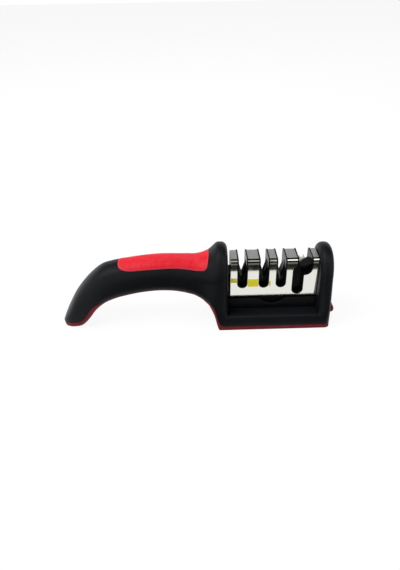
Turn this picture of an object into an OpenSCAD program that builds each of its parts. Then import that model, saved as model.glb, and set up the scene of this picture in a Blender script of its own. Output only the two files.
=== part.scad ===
// Four-stage hand sharpener: a hollow moulded body with a curved handle and a cradle,
// and a lift-out cartridge with three knife slots and one scissors slot.
// Lengths are in millimetres. X runs from the tail tip to the end face, Z is up from the table.

/* [Handle] */
// Length from the tail tip to the foot of the base
handle_length = 139; // [120:1:165]
// Width of the handle at its middle
handle_width = 28; // [24:0.5:32]
// Depth of the recess that holds the grip pad
pad_depth = 1.4; // [1:0.1:1.6]
// How far the grip pad stands proud of the handle
pad_proud = 0.25; // [0.1:0.05:0.5]

/* [Body] */
// Width of the base and of the feet of both posts
base_width = 50; // [44:1:56]
// Width of a post at its shoulder, below the round of its arch
post_width = 42; // [38:1:44]
// Height of the left post above the table
left_post_height = 73; // [69:1:81]
// Height of the right post above the table
right_post_height = 70.3; // [67:0.5:80]
// Height of both posts' shoulders, where the arch begins
shoulder_height = 45; // [40:1:50]
// Length of the left post along the base
left_post_depth = 7.8; // [7:0.1:12]
// Length of the right post along the base
right_post_depth = 11.7; // [10:0.1:16]
// Radius of the posts' rounded edges
post_edge = 5; // [2:0.1:5.4]
// Wall thickness of the moulded body
shell_wall = 2.7; // [2.4:0.1:3]
// Height of the ledge round the cradle
deck_height = 14.7; // [13.5:0.1:18]
// Thickness of the deck under the cartridge
deck_thick = 2.5; // [2:0.1:3]
// Bevel along the edge of the ledge
deck_bevel = 1.8; // [1:0.1:3]
// Height of the cradle walls above the table
cradle_height = 25.2; // [22.2:0.1:25.8]
// Thickness of the cradle walls
cradle_wall = 2.3; // [1.8:0.1:5]
// Radius of the finger scoop in the front cradle wall
scoop_radius = 14.6; // [11:0.1:18]
// Depth of the finger scoop
scoop_depth = 5; // [2:0.5:6]

/* [Sole] */
// Thickness of the red sole under the base
sole_thick = 4; // [3:0.1:4.4]
// Thickness of the red sole along the arch of the handle
sole_arch = 4; // [3:0.1:5]

/* [Cartridge] */
// Width of the first tab of the steel cover, at the handle end
first_tab = 5.6; // [5:0.1:8]
// Width of the second tab
second_tab = 9.4; // [7:0.1:12]
// Width of the third tab
third_tab = 5.7; // [5:0.1:8]
// Width of the fourth tab
fourth_tab = 8.7; // [7:0.1:12]
// Width of the last tab, at the far end
last_tab = 4.6; // [4:0.1:8]
// Width of a knife slot in the steel cover
slot_width = 9.1; // [8.6:0.1:11]
// Width of the mouth of the scissors slot in the steel cover
mouth_width = 13.6; // [12.5:0.1:16]
// Width of the narrow leg of the scissors slot in the steel cover
leg_width = 10; // [8.5:0.1:11]
// Height of the top of the steel cover above the table
steel_top = 62.5; // [60:0.5:66]
// Height of the bottom edge of the steel cover
steel_bottom = 26.4; // [26:0.1:27.4]
// Thickness of the cartridge over its steel cover
cartridge_thick = 21.6; // [20:0.2:24]
// Thickness of the steel sheet
steel_sheet = 0.8; // [0.5:0.1:1]
// Outer radius of the bends along the top of the steel cover
steel_bend = 3; // [2:0.1:5]
// Height of the round bottoms of the knife slots
slot_bottom = 35; // [33:0.5:38]
// Height of the round bottom of the scissors slot
leg_bottom = 27.9; // [27.5:0.1:33]
// Gap between the left post and the steel cover
steel_gap = 2.6; // [2:0.1:5]
// Width of the plastic rim round each slot
rim_width = 1.1; // [0.8:0.1:1.4]
// How far the rims stand proud of the steel
rim_proud = 0.35; // [0.2:0.05:0.6]

/* [Sharpening pieces] */
// Diameter of the diamond and ceramic rods
rod_d = 5.5; // [4.5:0.1:6]
// Width of a carbide blade
blade_width = 5.5; // [4.5:0.1:6]
// Thickness of a carbide blade
blade_thick = 2.4; // [1.8:0.1:3]
// Lean of the rods and blades from upright, in degrees
rod_lean = 17; // [15:0.5:19]
// Height at which the two rods of a slot cross
cross_height = 36.6; // [35.5:0.1:37.5]
// Height of the rods' lower ends
rod_foot = 28.4; // [27.5:0.1:29.5]
// Height of the rods' upper ends
rod_head = 57.5; // [55:0.5:58.5]
// Diameter of the scissors rod
scissor_rod_d = 4.6; // [3.6:0.1:5]
// Length of the scissors rod
scissor_rod_length = 12.8; // [10.4:0.2:13]
// Slope of the scissors rod above level, in degrees
scissor_rod_slope = 35; // [30:1:40]

/* [Latch] */
// How far the release button stands out of the end face
button_reach = 7.2; // [6.8:0.1:11]
// Width of the release button
button_width = 17; // [14:0.5:20]
// Height of the release button
button_height = 3.6; // [3.4:0.1:6.6]
// Travel of the release button
button_travel = 3; // [2.4:0.1:3.4]
// Outer diameter of the latch spring
spring_d = 5.2; // [4:0.1:5.6]
// Diameter of the spring wire
spring_wire = 0.7; // [0.5:0.05:0.9]
// Length of the fitted spring at rest
spring_length = 12.5; // [11:0.5:18]

/* [Fasteners] */
// Shank diameter of the screws
screw_d = 2.6; // [2.2:0.1:3]
// Head diameter of the screws
screw_head_d = 5; // [4.4:0.1:5.4]
// Head height of the screws
screw_head_h = 1.3; // [1:0.1:1.6]

/* [Hidden] */
$fn = 48;

// Running and seating clearances
fit_gap = 0.3;
slide_gap = 0.25;
pocket_gap = 0.05;
pad_gap = 0.1;
screw_gap = 0.2;
// How far a cutting solid runs past the face that it cuts
past = 1;

// Places along X, from the tail tip
left_face = handle_length + left_post_depth;
steel_left = left_face + steel_gap;
steel_length = first_tab + second_tab + third_tab + fourth_tab + last_tab
    + 3 * slot_width + mouth_width;
steel_right = steel_left + steel_length;
bay_gap = 0.7;
right_face = steel_right + bay_gap;
body_length = right_face + right_post_depth;
overall_length = body_length + button_reach;
slot_one = steel_left + first_tab + slot_width / 2;
slot_two = slot_one + slot_width + second_tab;
slot_three = slot_two + slot_width + third_tab;
mouth_left = slot_three + slot_width / 2 + fourth_tab;
mouth_mid = mouth_left + mouth_width / 2;
// The leg of the scissors slot lies this far left of the mouth's left edge
leg_shift = 3.6;
leg_mid = mouth_left - leg_shift + leg_width / 2;

// Half widths
base_half = base_width / 2;
post_half = post_width / 2;
cart_half = cartridge_thick / 2;
cradle_half = cart_half + fit_gap + cradle_wall;
core_half_thick = cart_half - steel_sheet;

// Handle sections, one row a station. The columns are: place along the handle, height of the
// top, of the underside and of the widest point as shares of the left post's height, half width
// as a share of the handle's, share of the flare to the post, and the powers of the rounding
// of the upper and the lower half.
section_shares = [
    [0.000, 0.055, 0.036, 0.045, 0.45, 0.00, 2.3, 3.0],
    [0.011, 0.099, 0.009, 0.063, 0.72, 0.00, 2.3, 4.0],
    [0.022, 0.146, 0.001, 0.079, 0.88, 0.00, 2.3, 6.0],
    [0.043, 0.223, 0.000, 0.107, 1.05, 0.00, 2.3, 6.0],
    [0.086, 0.369, 0.001, 0.183, 1.18, 0.00, 2.3, 6.0],
    [0.130, 0.487, 0.012, 0.249, 1.18, 0.00, 2.3, 5.0],
    [0.173, 0.584, 0.085, 0.335, 1.15, 0.00, 2.3, 4.2],
    [0.216, 0.665, 0.188, 0.427, 1.12, 0.00, 2.3, 3.6],
    [0.273, 0.748, 0.279, 0.513, 1.08, 0.00, 2.3, 3.2],
    [0.345, 0.793, 0.345, 0.569, 1.04, 0.00, 2.3, 3.2],
    [0.432, 0.820, 0.391, 0.606, 1.01, 0.00, 2.3, 3.2],
    [0.561, 0.853, 0.434, 0.641, 0.99, 0.00, 2.3, 3.2],
    [0.647, 0.863, 0.444, 0.647, 1.00, 0.00, 2.3, 3.2],
    [0.734, 0.861, 0.430, 0.638, 1.00, 0.00, 2.3, 3.2],
    [0.806, 0.855, 0.405, 0.621, 1.05, 0.02, 2.3, 3.4],
    [0.863, 0.850, 0.380, 0.612, 1.06, 0.19, 2.3, 4.0],
    [0.914, 0.871, 0.330, 0.610, 1.04, 0.46, 2.3, 6.0],
    [0.950, 0.911, 0.264, 0.612, 1.02, 0.74, 2.25, 10.0],
    [0.975, 0.961, 0.166, 0.614, 1.01, 0.92, 2.2, 24.0],
    [0.990, 0.990, 0.055, 0.616, 1.00, 0.98, 2.2, 50.0],
    [1.000, 0.999, 0.006, 0.616, 1.00, 1.00, 2.2, 70.0],
    [1.010, 1.000, 0.000, 0.616, 1.00, 1.00, 2.2, 80.0],
];
// Height of the line between body and sole above the underside. The columns are: place along
// the handle, share of the sole's thickness at the base, share of its thickness at the arch.
parting_shares = [
    [0.000, 0.30, 0.00], [0.011, 0.75, 0.00], [0.022, 1.05, 0.00], [0.037, 1.28, 0.00],
    [0.069, 1.53, 0.00], [0.101, 1.68, 0.00], [0.123, 1.83, 0.00], [0.146, 1.93, 0.00],
    [0.167, 2.28, 0.00], [0.191, 2.37, 0.00], [0.211, 2.18, 0.00], [0.228, 1.99, 0.00],
    [0.246, 1.41, 0.20], [0.265, 0.80, 0.50], [0.293, 0.24, 0.80], [0.330, 0.03, 0.97],
    [0.380, 0.00, 1.00], [0.820, 0.00, 1.00], [0.883, 0.02, 1.00], [0.913, 0.14, 0.95],
    [0.931, 0.31, 0.85], [0.950, 0.80, 0.63], [0.965, 1.28, 0.40], [0.976, 1.85, 0.20],
    [0.983, 2.03, 0.05], [0.990, 2.03, 0.00], [0.997, 2.00, 0.00], [1.008, 1.60, 0.00],
    [1.020, 1.05, 0.00], [1.030, 1.00, 0.00],
];
// Edge of the grip pad: place along the handle, then the angle up from the widest point, in degrees
pad_shares = [
    [0.3785, 86], [0.3800, 74], [0.3860, 61], [0.3990, 51], [0.4200, 43.5], [0.4500, 38],
    [0.4900, 35], [0.5500, 33.5], [0.6300, 33], [0.7000, 34.5], [0.7600, 35.5], [0.8200, 35],
    [0.8500, 34], [0.8750, 33.5], [0.8950, 33], [0.9130, 33.5], [0.9270, 38.5], [0.9350, 51],
    [0.9400, 68], [0.9440, 86],
];
// Share of the left post's height at which the table puts its shoulder
shoulder_share = 0.616;
// Powers of the upper and the lower rounding of a post
post_power = 2.2;
base_power = 80;
// Least height of the widest point above the parting line, as a share of the section's height
least_belt_share = 0.2;
// Least half width of any point of a section but the crown, as a share of the section's
least_half_share = 0.05;
// Stations of the rings along the handle
ring_shares = [
    0, 0.004, 0.011, 0.022, 0.034, 0.046, 0.060, 0.080, 0.100, 0.120, 0.140, 0.160, 0.180,
    0.200, 0.225, 0.250, 0.280, 0.315, 0.350, 0.400, 0.450, 0.510, 0.570, 0.630, 0.690, 0.740,
    0.785, 0.820, 0.850, 0.875, 0.895, 0.913, 0.927, 0.935, 0.944, 0.956, 0.967, 0.977, 0.986,
    0.994, 1.000, 1.010,
];
ring_end = handle_length * ring_shares[len(ring_shares) - 1];
// Heights of the points down a section's side, as shares of the side's height
side_shares = [1, 0.9, 0.78, 0.52, 0.28, 0.12];
// Steps of the upper arch from the side to the crown
crown_steps = 8;
// Share of a side's height over which the foot of a post spreads to the base
spread_share = 0.38;
// Number of rings in a post's rounded edge
edge_steps = 3;
// Slope of the upright moulded faces, as a length along X
draft = 0.3;
// Rounding of the end face: how far back along the body it begins, how far in it reaches,
// and its two powers
end_round = 5.4;
end_round_inset = 10;
end_powers = [2, 4];

// A value read from a table of [place, ...] rows along a smooth curve through its points
function row_below(x, t) = max([for (i = [0:len(t) - 2]) if (x >= t[i][0] || i == 0) i]);
function chord(t, i, c) = (t[i + 1][c] - t[i][c]) / (t[i + 1][0] - t[i][0]);
function tangent(t, i, c) =
    i == 0 ? chord(t, 0, c)
    : i == len(t) - 1 ? chord(t, i - 1, c)
    : (chord(t, i - 1, c) * (t[i + 1][0] - t[i][0]) + chord(t, i, c) * (t[i][0] - t[i - 1][0]))
        / (t[i + 1][0] - t[i - 1][0]);
function hermite(p, q, m, n, u) =
    p * (1 - 3 * u * u + 2 * u * u * u) + q * (3 * u * u - 2 * u * u * u)
    + m * (u - 2 * u * u + u * u * u) + n * (u * u * u - u * u);
function smooth(x, t, c = 1) =
    x <= t[0][0] ? t[0][c]
    : x >= t[len(t) - 1][0] ? t[len(t) - 1][c]
    : let (i = row_below(x, t), w = t[i + 1][0] - t[i][0])
        hermite(t[i][c], t[i + 1][c], tangent(t, i, c) * w, tangent(t, i + 1, c) * w,
            (x - t[i][0]) / w);

// Sizes of the section at a place along the body: crown, underside, parting line, widest
// height, half width, spread of the foot and powers
function share_at(x) = x / handle_length;
function is_right(x) = x > (left_face + right_face) / 2;
function crown_at(x) =
    is_right(x) ? right_post_height : left_post_height * smooth(share_at(x), section_shares, 1);
function under_at(x) =
    is_right(x) ? 0 : max(0, left_post_height * smooth(share_at(x), section_shares, 2));
function sole_at(x) =
    is_right(x) ? sole_thick
    : smooth(share_at(x), parting_shares, 1) * sole_thick
        + smooth(share_at(x), parting_shares, 2) * sole_arch;
function parting_at(x) = under_at(x) + sole_at(x);
function belt_at(x) =
    let (b = is_right(x) ? shoulder_height
        : left_post_height * smooth(share_at(x), section_shares, 3)
            + (shoulder_height - shoulder_share * left_post_height) * flare_at(x))
        max(b, parting_at(x) + least_belt_share * (crown_at(x) - parting_at(x)));
function flare_at(x) = is_right(x) ? 1 : smooth(share_at(x), section_shares, 5);
function half_at(x) =
    is_right(x) ? post_half
    : handle_width / 2 * smooth(share_at(x), section_shares, 4) * (1 - flare_at(x))
        + post_half * flare_at(x);
function spread_at(x) = (base_half - post_half) * flare_at(x);
function upper_power(x) = is_right(x) ? post_power : smooth(share_at(x), section_shares, 6);
function lower_power(x) = is_right(x) ? base_power : smooth(share_at(x), section_shares, 7);

// Half width at a height below the belt
function side_half(x, z) =
    let (u = min(1, max(0, (belt_at(x) - z) / (belt_at(x) - under_at(x)))), m = lower_power(x))
        (half_at(x) + spread_at(x) * min(1, u / (1 - spread_share)))
            * pow(max(0, 1 - pow(u, m)), 1 / m);

// Half of a section, from the parting line up to the crown, drawn in by a wall or an edge
function side_points(x, inset, foot_inset) = [
    for (j = [0:len(side_shares) - 1])
        let (z = belt_at(x) - side_shares[j] * (belt_at(x) - parting_at(x)),
            draw = j < 3 ? foot_inset : inset)
            [max(side_half(x, z) - draw, least_half_share * half_at(x)), z]
];
function crown_points(x, inset, crown_inset) = [
    for (k = [0:crown_steps])
        let (a = 90 * k / crown_steps, p = 2 / upper_power(x))
            [(half_at(x) - inset) * pow(cos(a), p),
                belt_at(x) + (crown_at(x) - crown_inset - belt_at(x)) * pow(sin(a), p)]
];
function both_sides(h) = concat(
    h, [for (j = [len(h) - 2:-1:0]) [-h[j][0], h[j][1]]]
);
function arch_arc(x, inset, foot_inset, crown_inset) =
    both_sides(concat(side_points(x, inset, foot_inset), crown_points(x, inset, crown_inset)));
// The low section between the posts: its sides, its bevel and its flat top
function deck_arc(inset, top) =
    let (n = len(side_shares) + crown_steps + 1, w = base_half - inset, low = sole_thick)
        both_sides([
            for (j = [0:n - 1])
                j == 0 ? [w, low]
                : j == 1 ? [w, low + (top - deck_bevel - low) / 2]
                : j == 2 ? [w, top - deck_bevel]
                : [(w - deck_bevel) * (n - 1 - j) / (n - 4), top]
        ]);

// Insets of the rounded edges of the posts and of the end face
function edge_inset(d) =
    d >= post_edge ? 0 : post_edge - sqrt(pow(post_edge, 2) - pow(post_edge - d, 2));
function end_inset(x) =
    let (t = min(1, max(0, 1 - (body_length - x) / end_round)))
        x < right_face ? 0
        : end_round_inset * (1 - pow(1 - pow(t, end_powers[0]), 1 / end_powers[1]));
function outer_arc(x) =
    x <= left_face
        ? let (e = edge_inset(left_face - x)) arch_arc(x, e, 0, e)
    : x < right_face ? deck_arc(0, deck_height)
    : let (e = edge_inset(x - right_face), f = end_inset(x))
        arch_arc(x, max(e, f), f, max(e, f));
cavity_left = left_face - shell_wall - draft;
cavity_right = right_face + shell_wall;
cavity_end = body_length - shell_wall;
cavity_start_share = 0.060;
function inner_arc(x) =
    x <= cavity_left || x >= cavity_right + draft
        ? arch_arc(x, shell_wall, shell_wall, shell_wall)
        : deck_arc(shell_wall, deck_height - deck_thick);

// Distances from a post's face at which its rounded edge has a ring, and the same from the end
edge_places = [for (k = [edge_steps:-1:1]) post_edge * (1 - cos(90 * k / edge_steps))];
end_place_shares = [0.4, 0.25, 0.12, 0.04, 0];
stations = concat(
    [for (s = ring_shares) s * handle_length],
    [(ring_end + cavity_left) / 2, cavity_left, cavity_left + draft],
    [for (d = edge_places) if (d < shell_wall) left_face - d],
    [left_face, left_face + draft, right_face - draft, right_face],
    [for (k = [edge_steps - 1:-1:0]) if (edge_places[k] < shell_wall) right_face + edge_places[k]],
    [cavity_right, cavity_right + draft, body_length - end_round, cavity_end],
    [for (s = end_place_shares) body_length - s * end_round]
);

// A closed hollow solid from outer arcs, with an inner space open at the parting line
module hollow_loft(xs, first, last) {
    outer = [for (x = xs) outer_arc(x)];
    n = len(outer[0]);
    m = len(xs);
    inner = [for (i = [first:last]) inner_arc(xs[i])];
    shift = m * n;
    points = concat(
        [for (i = [0:m - 1]) for (p = outer[i]) [xs[i], p[0], p[1]]],
        [for (i = [first:last]) for (p = inner[i - first]) [xs[i], p[0], p[1]]]
    );
    function o(i, j) = i * n + j;
    function v(i, j) = shift + (i - first) * n + j;
    e = n - 1;
    faces = concat(
        [[for (j = [0:e]) o(0, j)]],
        [[for (j = [e:-1:0]) o(m - 1, j)]],
        [for (i = [0:m - 2]) for (j = [0:e - 1]) for (f = [
            [o(i, j), o(i + 1, j), o(i + 1, j + 1)], [o(i, j), o(i + 1, j + 1), o(i, j + 1)]
        ]) f],
        [for (i = [first:last - 1]) for (j = [0:e - 1]) for (f = [
            [v(i, j), v(i, j + 1), v(i + 1, j + 1)], [v(i, j), v(i + 1, j + 1), v(i + 1, j)]
        ]) f],
        [[for (j = [e:-1:0]) v(first, j)]],
        [[for (j = [0:e]) v(last, j)]],
        [for (i = [0:m - 2]) if (i < first - 1 || i > last) for (f = [
            [o(i, 0), o(i, e), o(i + 1, e)], [o(i, 0), o(i + 1, e), o(i + 1, 0)]
        ]) f],
        [for (i = [first:last - 1]) for (f = [
            [o(i, 0), v(i, 0), v(i + 1, 0)], [o(i, 0), v(i + 1, 0), o(i + 1, 0)],
            [v(i, e), o(i, e), o(i + 1, e)], [v(i, e), o(i + 1, e), v(i + 1, e)]
        ]) f],
        let (a = first - 1, b = first) [
            [o(a, 0), o(a, e), o(b, e)], [o(a, 0), o(b, e), v(b, e)],
            [o(a, 0), v(b, e), v(b, 0)], [o(a, 0), v(b, 0), o(b, 0)]
        ],
        let (a = last + 1, b = last) [
            [o(a, 0), o(b, 0), v(b, 0)], [o(a, 0), v(b, 0), v(b, e)],
            [o(a, 0), v(b, e), o(b, e)], [o(a, 0), o(b, e), o(a, e)]
        ]
    );
    polyhedron(points, faces, convexity = 8);
}

// Lower part of a section: heights of its points below the parting line, as shares of the sole's
// thickness there, and the half width of its flat underside as a share of the lowest of them
under_shares = [0, 0.35, 0.65, 0.88];
flat_share = 0.9;
function under_side(x) = [
    for (s = under_shares)
        let (z = parting_at(x) - s * (parting_at(x) - under_at(x)))
            [max(side_half(x, z) - end_inset(x), least_half_share * half_at(x)), z]
];
function under_arc(x) =
    let (side = under_side(x), lowest = side[len(side) - 1],
        half = concat(side, [[
            max(flat_share * (lowest[0] + end_inset(x)) - end_inset(x), least_half_share * half_at(x)),
            under_at(x)
        ]]))
        concat(half, [for (j = [len(half) - 1:-1:0]) [-half[j][0], half[j][1]]]);
module solid_loft(xs) {
    arcs = [for (x = xs) under_arc(x)];
    n = len(arcs[0]);
    m = len(xs);
    e = n - 1;
    points = [for (i = [0:m - 1]) for (p = arcs[i]) [xs[i], p[0], p[1]]];
    function o(i, j) = i * n + j;
    faces = concat(
        [[for (j = [e:-1:0]) o(0, j)]],
        [[for (j = [0:e]) o(m - 1, j)]],
        [for (i = [0:m - 2]) for (j = [0:e - 1]) for (f = [
            [o(i, j), o(i, j + 1), o(i + 1, j + 1)], [o(i, j), o(i + 1, j + 1), o(i + 1, j)]
        ]) f],
        [for (i = [0:m - 2]) for (f = [
            [o(i, 0), o(i + 1, 0), o(i + 1, e)], [o(i, 0), o(i + 1, e), o(i, e)]
        ]) f]
    );
    polyhedron(points, faces, convexity = 6);
}

// A thick patch of the handle's crown, between two depths below its surface
pad_columns = 14;
function pad_arc(x, edge, depth) = [
    for (k = [0:pad_columns])
        let (a = edge + (180 - 2 * edge) * k / pad_columns, p = 2 / upper_power(x),
            s = a > 90 ? -1 : 1)
            [x, s * (half_at(x) - depth) * pow(abs(cos(a)), p),
                belt_at(x) + (crown_at(x) - depth - belt_at(x)) * pow(sin(a), p)]
];
module crown_patch(top_depth, low_depth, grow) {
    m = len(pad_shares);
    n = pad_columns + 1;
    e = pad_columns;
    mid = (pad_shares[0][0] + pad_shares[m - 1][0]) / 2;
    xs = [for (r = pad_shares) r[0] * handle_length + (r[0] > mid ? grow : -grow)];
    lean = 180 / PI * grow / (handle_width / 2);
    top = [for (i = [0:m - 1]) pad_arc(xs[i], pad_shares[i][1] - lean, top_depth)];
    low = [for (i = [0:m - 1]) pad_arc(xs[i], pad_shares[i][1] - lean, low_depth)];
    points = concat([for (r = top) for (p = r) p], [for (r = low) for (p = r) p]);
    function o(i, j) = i * n + j;
    function v(i, j) = (m + i) * n + j;
    faces = concat(
        [for (i = [0:m - 2]) for (j = [0:e - 1]) for (f = [
            [o(i, j), o(i + 1, j), o(i + 1, j + 1)], [o(i, j), o(i + 1, j + 1), o(i, j + 1)],
            [v(i, j), v(i, j + 1), v(i + 1, j + 1)], [v(i, j), v(i + 1, j + 1), v(i + 1, j)]
        ]) f],
        [for (i = [0:m - 2]) for (f = [
            [o(i, 0), v(i, 0), v(i + 1, 0)], [o(i, 0), v(i + 1, 0), o(i + 1, 0)],
            [v(i, e), o(i, e), o(i + 1, e)], [v(i, e), o(i + 1, e), v(i + 1, e)]
        ]) f],
        [for (j = [0:e - 1]) for (f = [
            [o(0, j), o(0, j + 1), v(0, j + 1)], [o(0, j), v(0, j + 1), v(0, j)],
            [o(m - 1, j + 1), o(m - 1, j), v(m - 1, j)],
            [o(m - 1, j + 1), v(m - 1, j), v(m - 1, j + 1)]
        ]) f]
    );
    polyhedron(points, faces, convexity = 6);
}

// Everything is drawn from the tail tip and then centred over its middle
module placed() {
    translate([-overall_length / 2, 0, 0]) children();
}

// A block between two places along X, symmetrical about the middle plane unless told otherwise
module span(x0, x1, half, z0, z1) {
    translate([x0, -half, z0]) cube([x1 - x0, 2 * half, z1 - z0]);
}

// Screws stand head down, with the underside of the head one head height up
boss_d = 6.4;
thread_bite = 0.15;
pilot_d = screw_d - 2 * thread_bite;
head_seat = screw_head_h + screw_gap;
head_bore_d = screw_head_d + 2 * screw_gap;
shank_bore_d = screw_d + 2 * screw_gap;
module cross_screw(length) {
    arm = screw_head_d / 2;
    blade = screw_head_d / 7;
    difference() {
        union() {
            cylinder(d = screw_head_d, h = screw_head_h);
            cylinder(d = screw_d, h = length);
        }
        for (a = [0, 90])
            rotate([0, 0, a]) translate([-arm / 2, -blade / 2, -past])
                cube([arm, blade, past + screw_head_h / 2]);
    }
}

// Screws that hold the sole: one in the tail foot and four in the base
sole_screw_length = 10.5;
tail_screw_share = 0.095;
tail_screw_x = handle_length * tail_screw_share;
tail_boss_top = crown_at(tail_screw_x - boss_d / 2) - shell_wall / 2;
boss_clear = 1;
base_screw_y = base_half - shell_wall - boss_d / 2 - boss_clear;
base_screw_xs = [left_face + boss_d, right_face - 3 * boss_d];
function base_screw_places() = [for (x = base_screw_xs) for (s = [-1, 1]) [x, s * base_screw_y]];
function sole_screw_places() = concat([[tail_screw_x, 0]], base_screw_places());

// Latch: the button's flange bears on the end wall, and the slide reaches back under the deck
// to a window whose left edge holds the nose of the cartridge's hook
button_sill = 1;
button_mid_z = sole_thick + button_sill + slide_gap + button_height / 2;
button_flange = 2;
button_lip = 1.8;
flange_back = cavity_end - button_flange;
deck_under = deck_height - deck_thick;
slide_thick = 2.4;
slide_half = 7;
slide_top = deck_under - slide_gap;
slide_low = slide_top - slide_thick;
hook_back = 8.6;
hook_length = 3;
hook_half = 3.6;
hook_x = right_face - hook_back;
nose_reach = 2;
nose_height = 2;
nose_grip = 1.4;
nose_top = slide_low - slide_gap;
nose_x = hook_x - nose_reach;
window_left = nose_x + nose_grip;
window_right = hook_x + hook_length + button_travel + fit_gap;
window_half = hook_half + 2 * slide_gap;

// Bridge: the strap that carries the slide, between the slide's lip and the hook's nose
bridge_thick = 1.4;
bridge_length = 5;
bridge_screw_length = 5.6;
bridge_boss_d = screw_head_d;
bridge_top = slide_low - slide_gap;
bridge_x = nose_x - fit_gap - bridge_length;
bridge_y = slide_half + slide_gap + bridge_boss_d / 2;
function bridge_places() = [for (s = [-1, 1]) [bridge_x + bridge_length / 2, s * bridge_y]];

// Spring: it sits between a rib under the deck and the slide's lip, round a stub on each
lip_thick = 1.5;
slide_left = bridge_x - fit_gap - lip_thick;
spring_seat_x = slide_left - spring_length;
seat_thick = 2.5;
spring_mid_z = slide_top - spring_d / 2 - pocket_gap;
lip_low = spring_mid_z - spring_d / 2;
stub_d = spring_d - 2 * spring_wire - 2 * slide_gap;
stub_length = 2;
module spring_stub(x) {
    translate([x, 0, spring_mid_z]) rotate([0, 90, 0]) cylinder(d = stub_d, h = stub_length);
}

// Body: one hollow moulding in black plastic
module body_shell() {
    first = search(cavity_start_share, ring_shares)[0];
    last = max([for (i = [0:len(stations) - 1]) if (stations[i] <= cavity_end) i]);
    color([0.09, 0.09, 0.10]) placed() difference() {
        union() {
            hollow_loft(stations, first, last);
            cradle_box();
            body_bosses();
            spring_seat();
        }
        span(left_face, right_face, cart_half + fit_gap, deck_height, steel_top);
        crown_patch(-past, pad_depth, pad_gap);
        finger_scoop();
        hook_hole();
        pilot_holes();
        // the hole runs on past the wall, so that its rounded end lies outside
        translate([cavity_end - past, 0, button_mid_z])
            button_bar(body_length - cavity_end + button_width, slide_gap);
    }
}
module cradle_box() {
    low = deck_height - deck_thick / 2;
    span(left_face - shell_wall, right_face + shell_wall, cradle_half, low, cradle_height);
}
module finger_scoop() {
    middle = (left_face + right_face) / 2;
    translate([middle, -cart_half, cradle_height + scoop_radius - scoop_depth])
        rotate([90, 0, 0]) cylinder(r = scoop_radius, h = cradle_half, $fn = 96);
}
module body_bosses() {
    deck_middle = deck_height - deck_thick / 2;
    for (p = base_screw_places())
        translate([p[0], p[1], sole_thick]) cylinder(d = boss_d, h = deck_middle - sole_thick);
    translate([tail_screw_x, 0, parting_at(tail_screw_x)])
        cylinder(d = boss_d, h = tail_boss_top - parting_at(tail_screw_x));
    for (p = bridge_places())
        translate([p[0], p[1], bridge_top]) cylinder(d = bridge_boss_d, h = deck_middle - bridge_top);
}
module spring_seat() {
    deck_middle = deck_height - deck_thick / 2;
    span(spring_seat_x - seat_thick, spring_seat_x, spring_d / 2, lip_low, deck_middle);
    spring_stub(spring_seat_x);
}
module hook_hole() {
    room = fit_gap + hook_length + nose_reach + fit_gap;
    span(nose_x - fit_gap, nose_x - fit_gap + room, hook_half + fit_gap, deck_under - past,
        deck_height + past);
}
module pilot_holes() {
    for (p = base_screw_places())
        translate([p[0], p[1], 0]) cylinder(d = pilot_d, h = sole_screw_length + head_seat);
    translate([tail_screw_x, 0, 0]) cylinder(d = pilot_d, h = sole_screw_length + head_seat);
    for (p = bridge_places())
        translate([p[0], p[1], bridge_top - bridge_thick])
            cylinder(d = pilot_d, h = bridge_screw_length);
}

// Grip pad: soft red rubber set into the crown of the handle
module grip_pad() {
    color([0.91, 0.16, 0.23]) placed() crown_patch(-pad_proud, pad_depth - pocket_gap, 0);
}

// Sole: red non-slip under-cover from the tail foot along the arch to the base
module sole() {
    color([0.45, 0.11, 0.15]) placed() difference() {
        solid_loft([for (x = stations) if (x <= left_face || x >= right_face) x]);
        for (p = sole_screw_places()) translate([p[0], p[1], 0]) {
            translate([0, 0, -past]) cylinder(d = head_bore_d, h = past + head_seat);
            cylinder(d = shank_bore_d, h = sole_thick + parting_at(tail_screw_x));
        }
    }
}
module sole_screws() {
    color([0.62, 0.63, 0.65]) placed()
        for (p = sole_screw_places())
            translate([p[0], p[1], screw_gap]) cross_screw(sole_screw_length);
}

// Release button: a bar with a rounded nose and a flange that keeps it in the body
button_corner_share = 0.24;
button_nose_share = 0.42;
module button_bar(length, grow) {
    high = button_height + 2 * grow;
    wide = button_width + 2 * grow;
    intersection() {
        translate([0, 0, -high / 2])
            linear_extrude(high) rounded_end(length, wide, button_width * button_corner_share);
        rotate([90, 0, 0]) translate([0, 0, -wide / 2])
            linear_extrude(wide) rounded_end(length, high, button_height * button_nose_share);
    }
}
module rounded_end(length, width, corner) {
    translate([0, -width / 2]) square([length - corner, width]);
    translate([0, -width / 2 + corner]) square([length, width - 2 * corner]);
    for (s = [-1, 1]) translate([length - corner, s * (width / 2 - corner)]) circle(r = corner);
}
module release_button() {
    low = button_mid_z - button_height / 2;
    color([0.62, 0.13, 0.2]) placed() {
        translate([flange_back, 0, button_mid_z]) button_bar(overall_length - flange_back, 0);
        span(flange_back, cavity_end - pocket_gap, button_width / 2 + button_lip, low, slide_top);
    }
}
module latch_slide() {
    color([0.16, 0.16, 0.17]) placed() {
        difference() {
            span(slide_left, flange_back, slide_half, slide_low, slide_top);
            span(window_left, window_right, window_half, slide_low - past, slide_top + past);
        }
        span(slide_left, slide_left + lip_thick, slide_half, lip_low, slide_top);
        spring_stub(slide_left - stub_length);
    }
}

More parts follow.
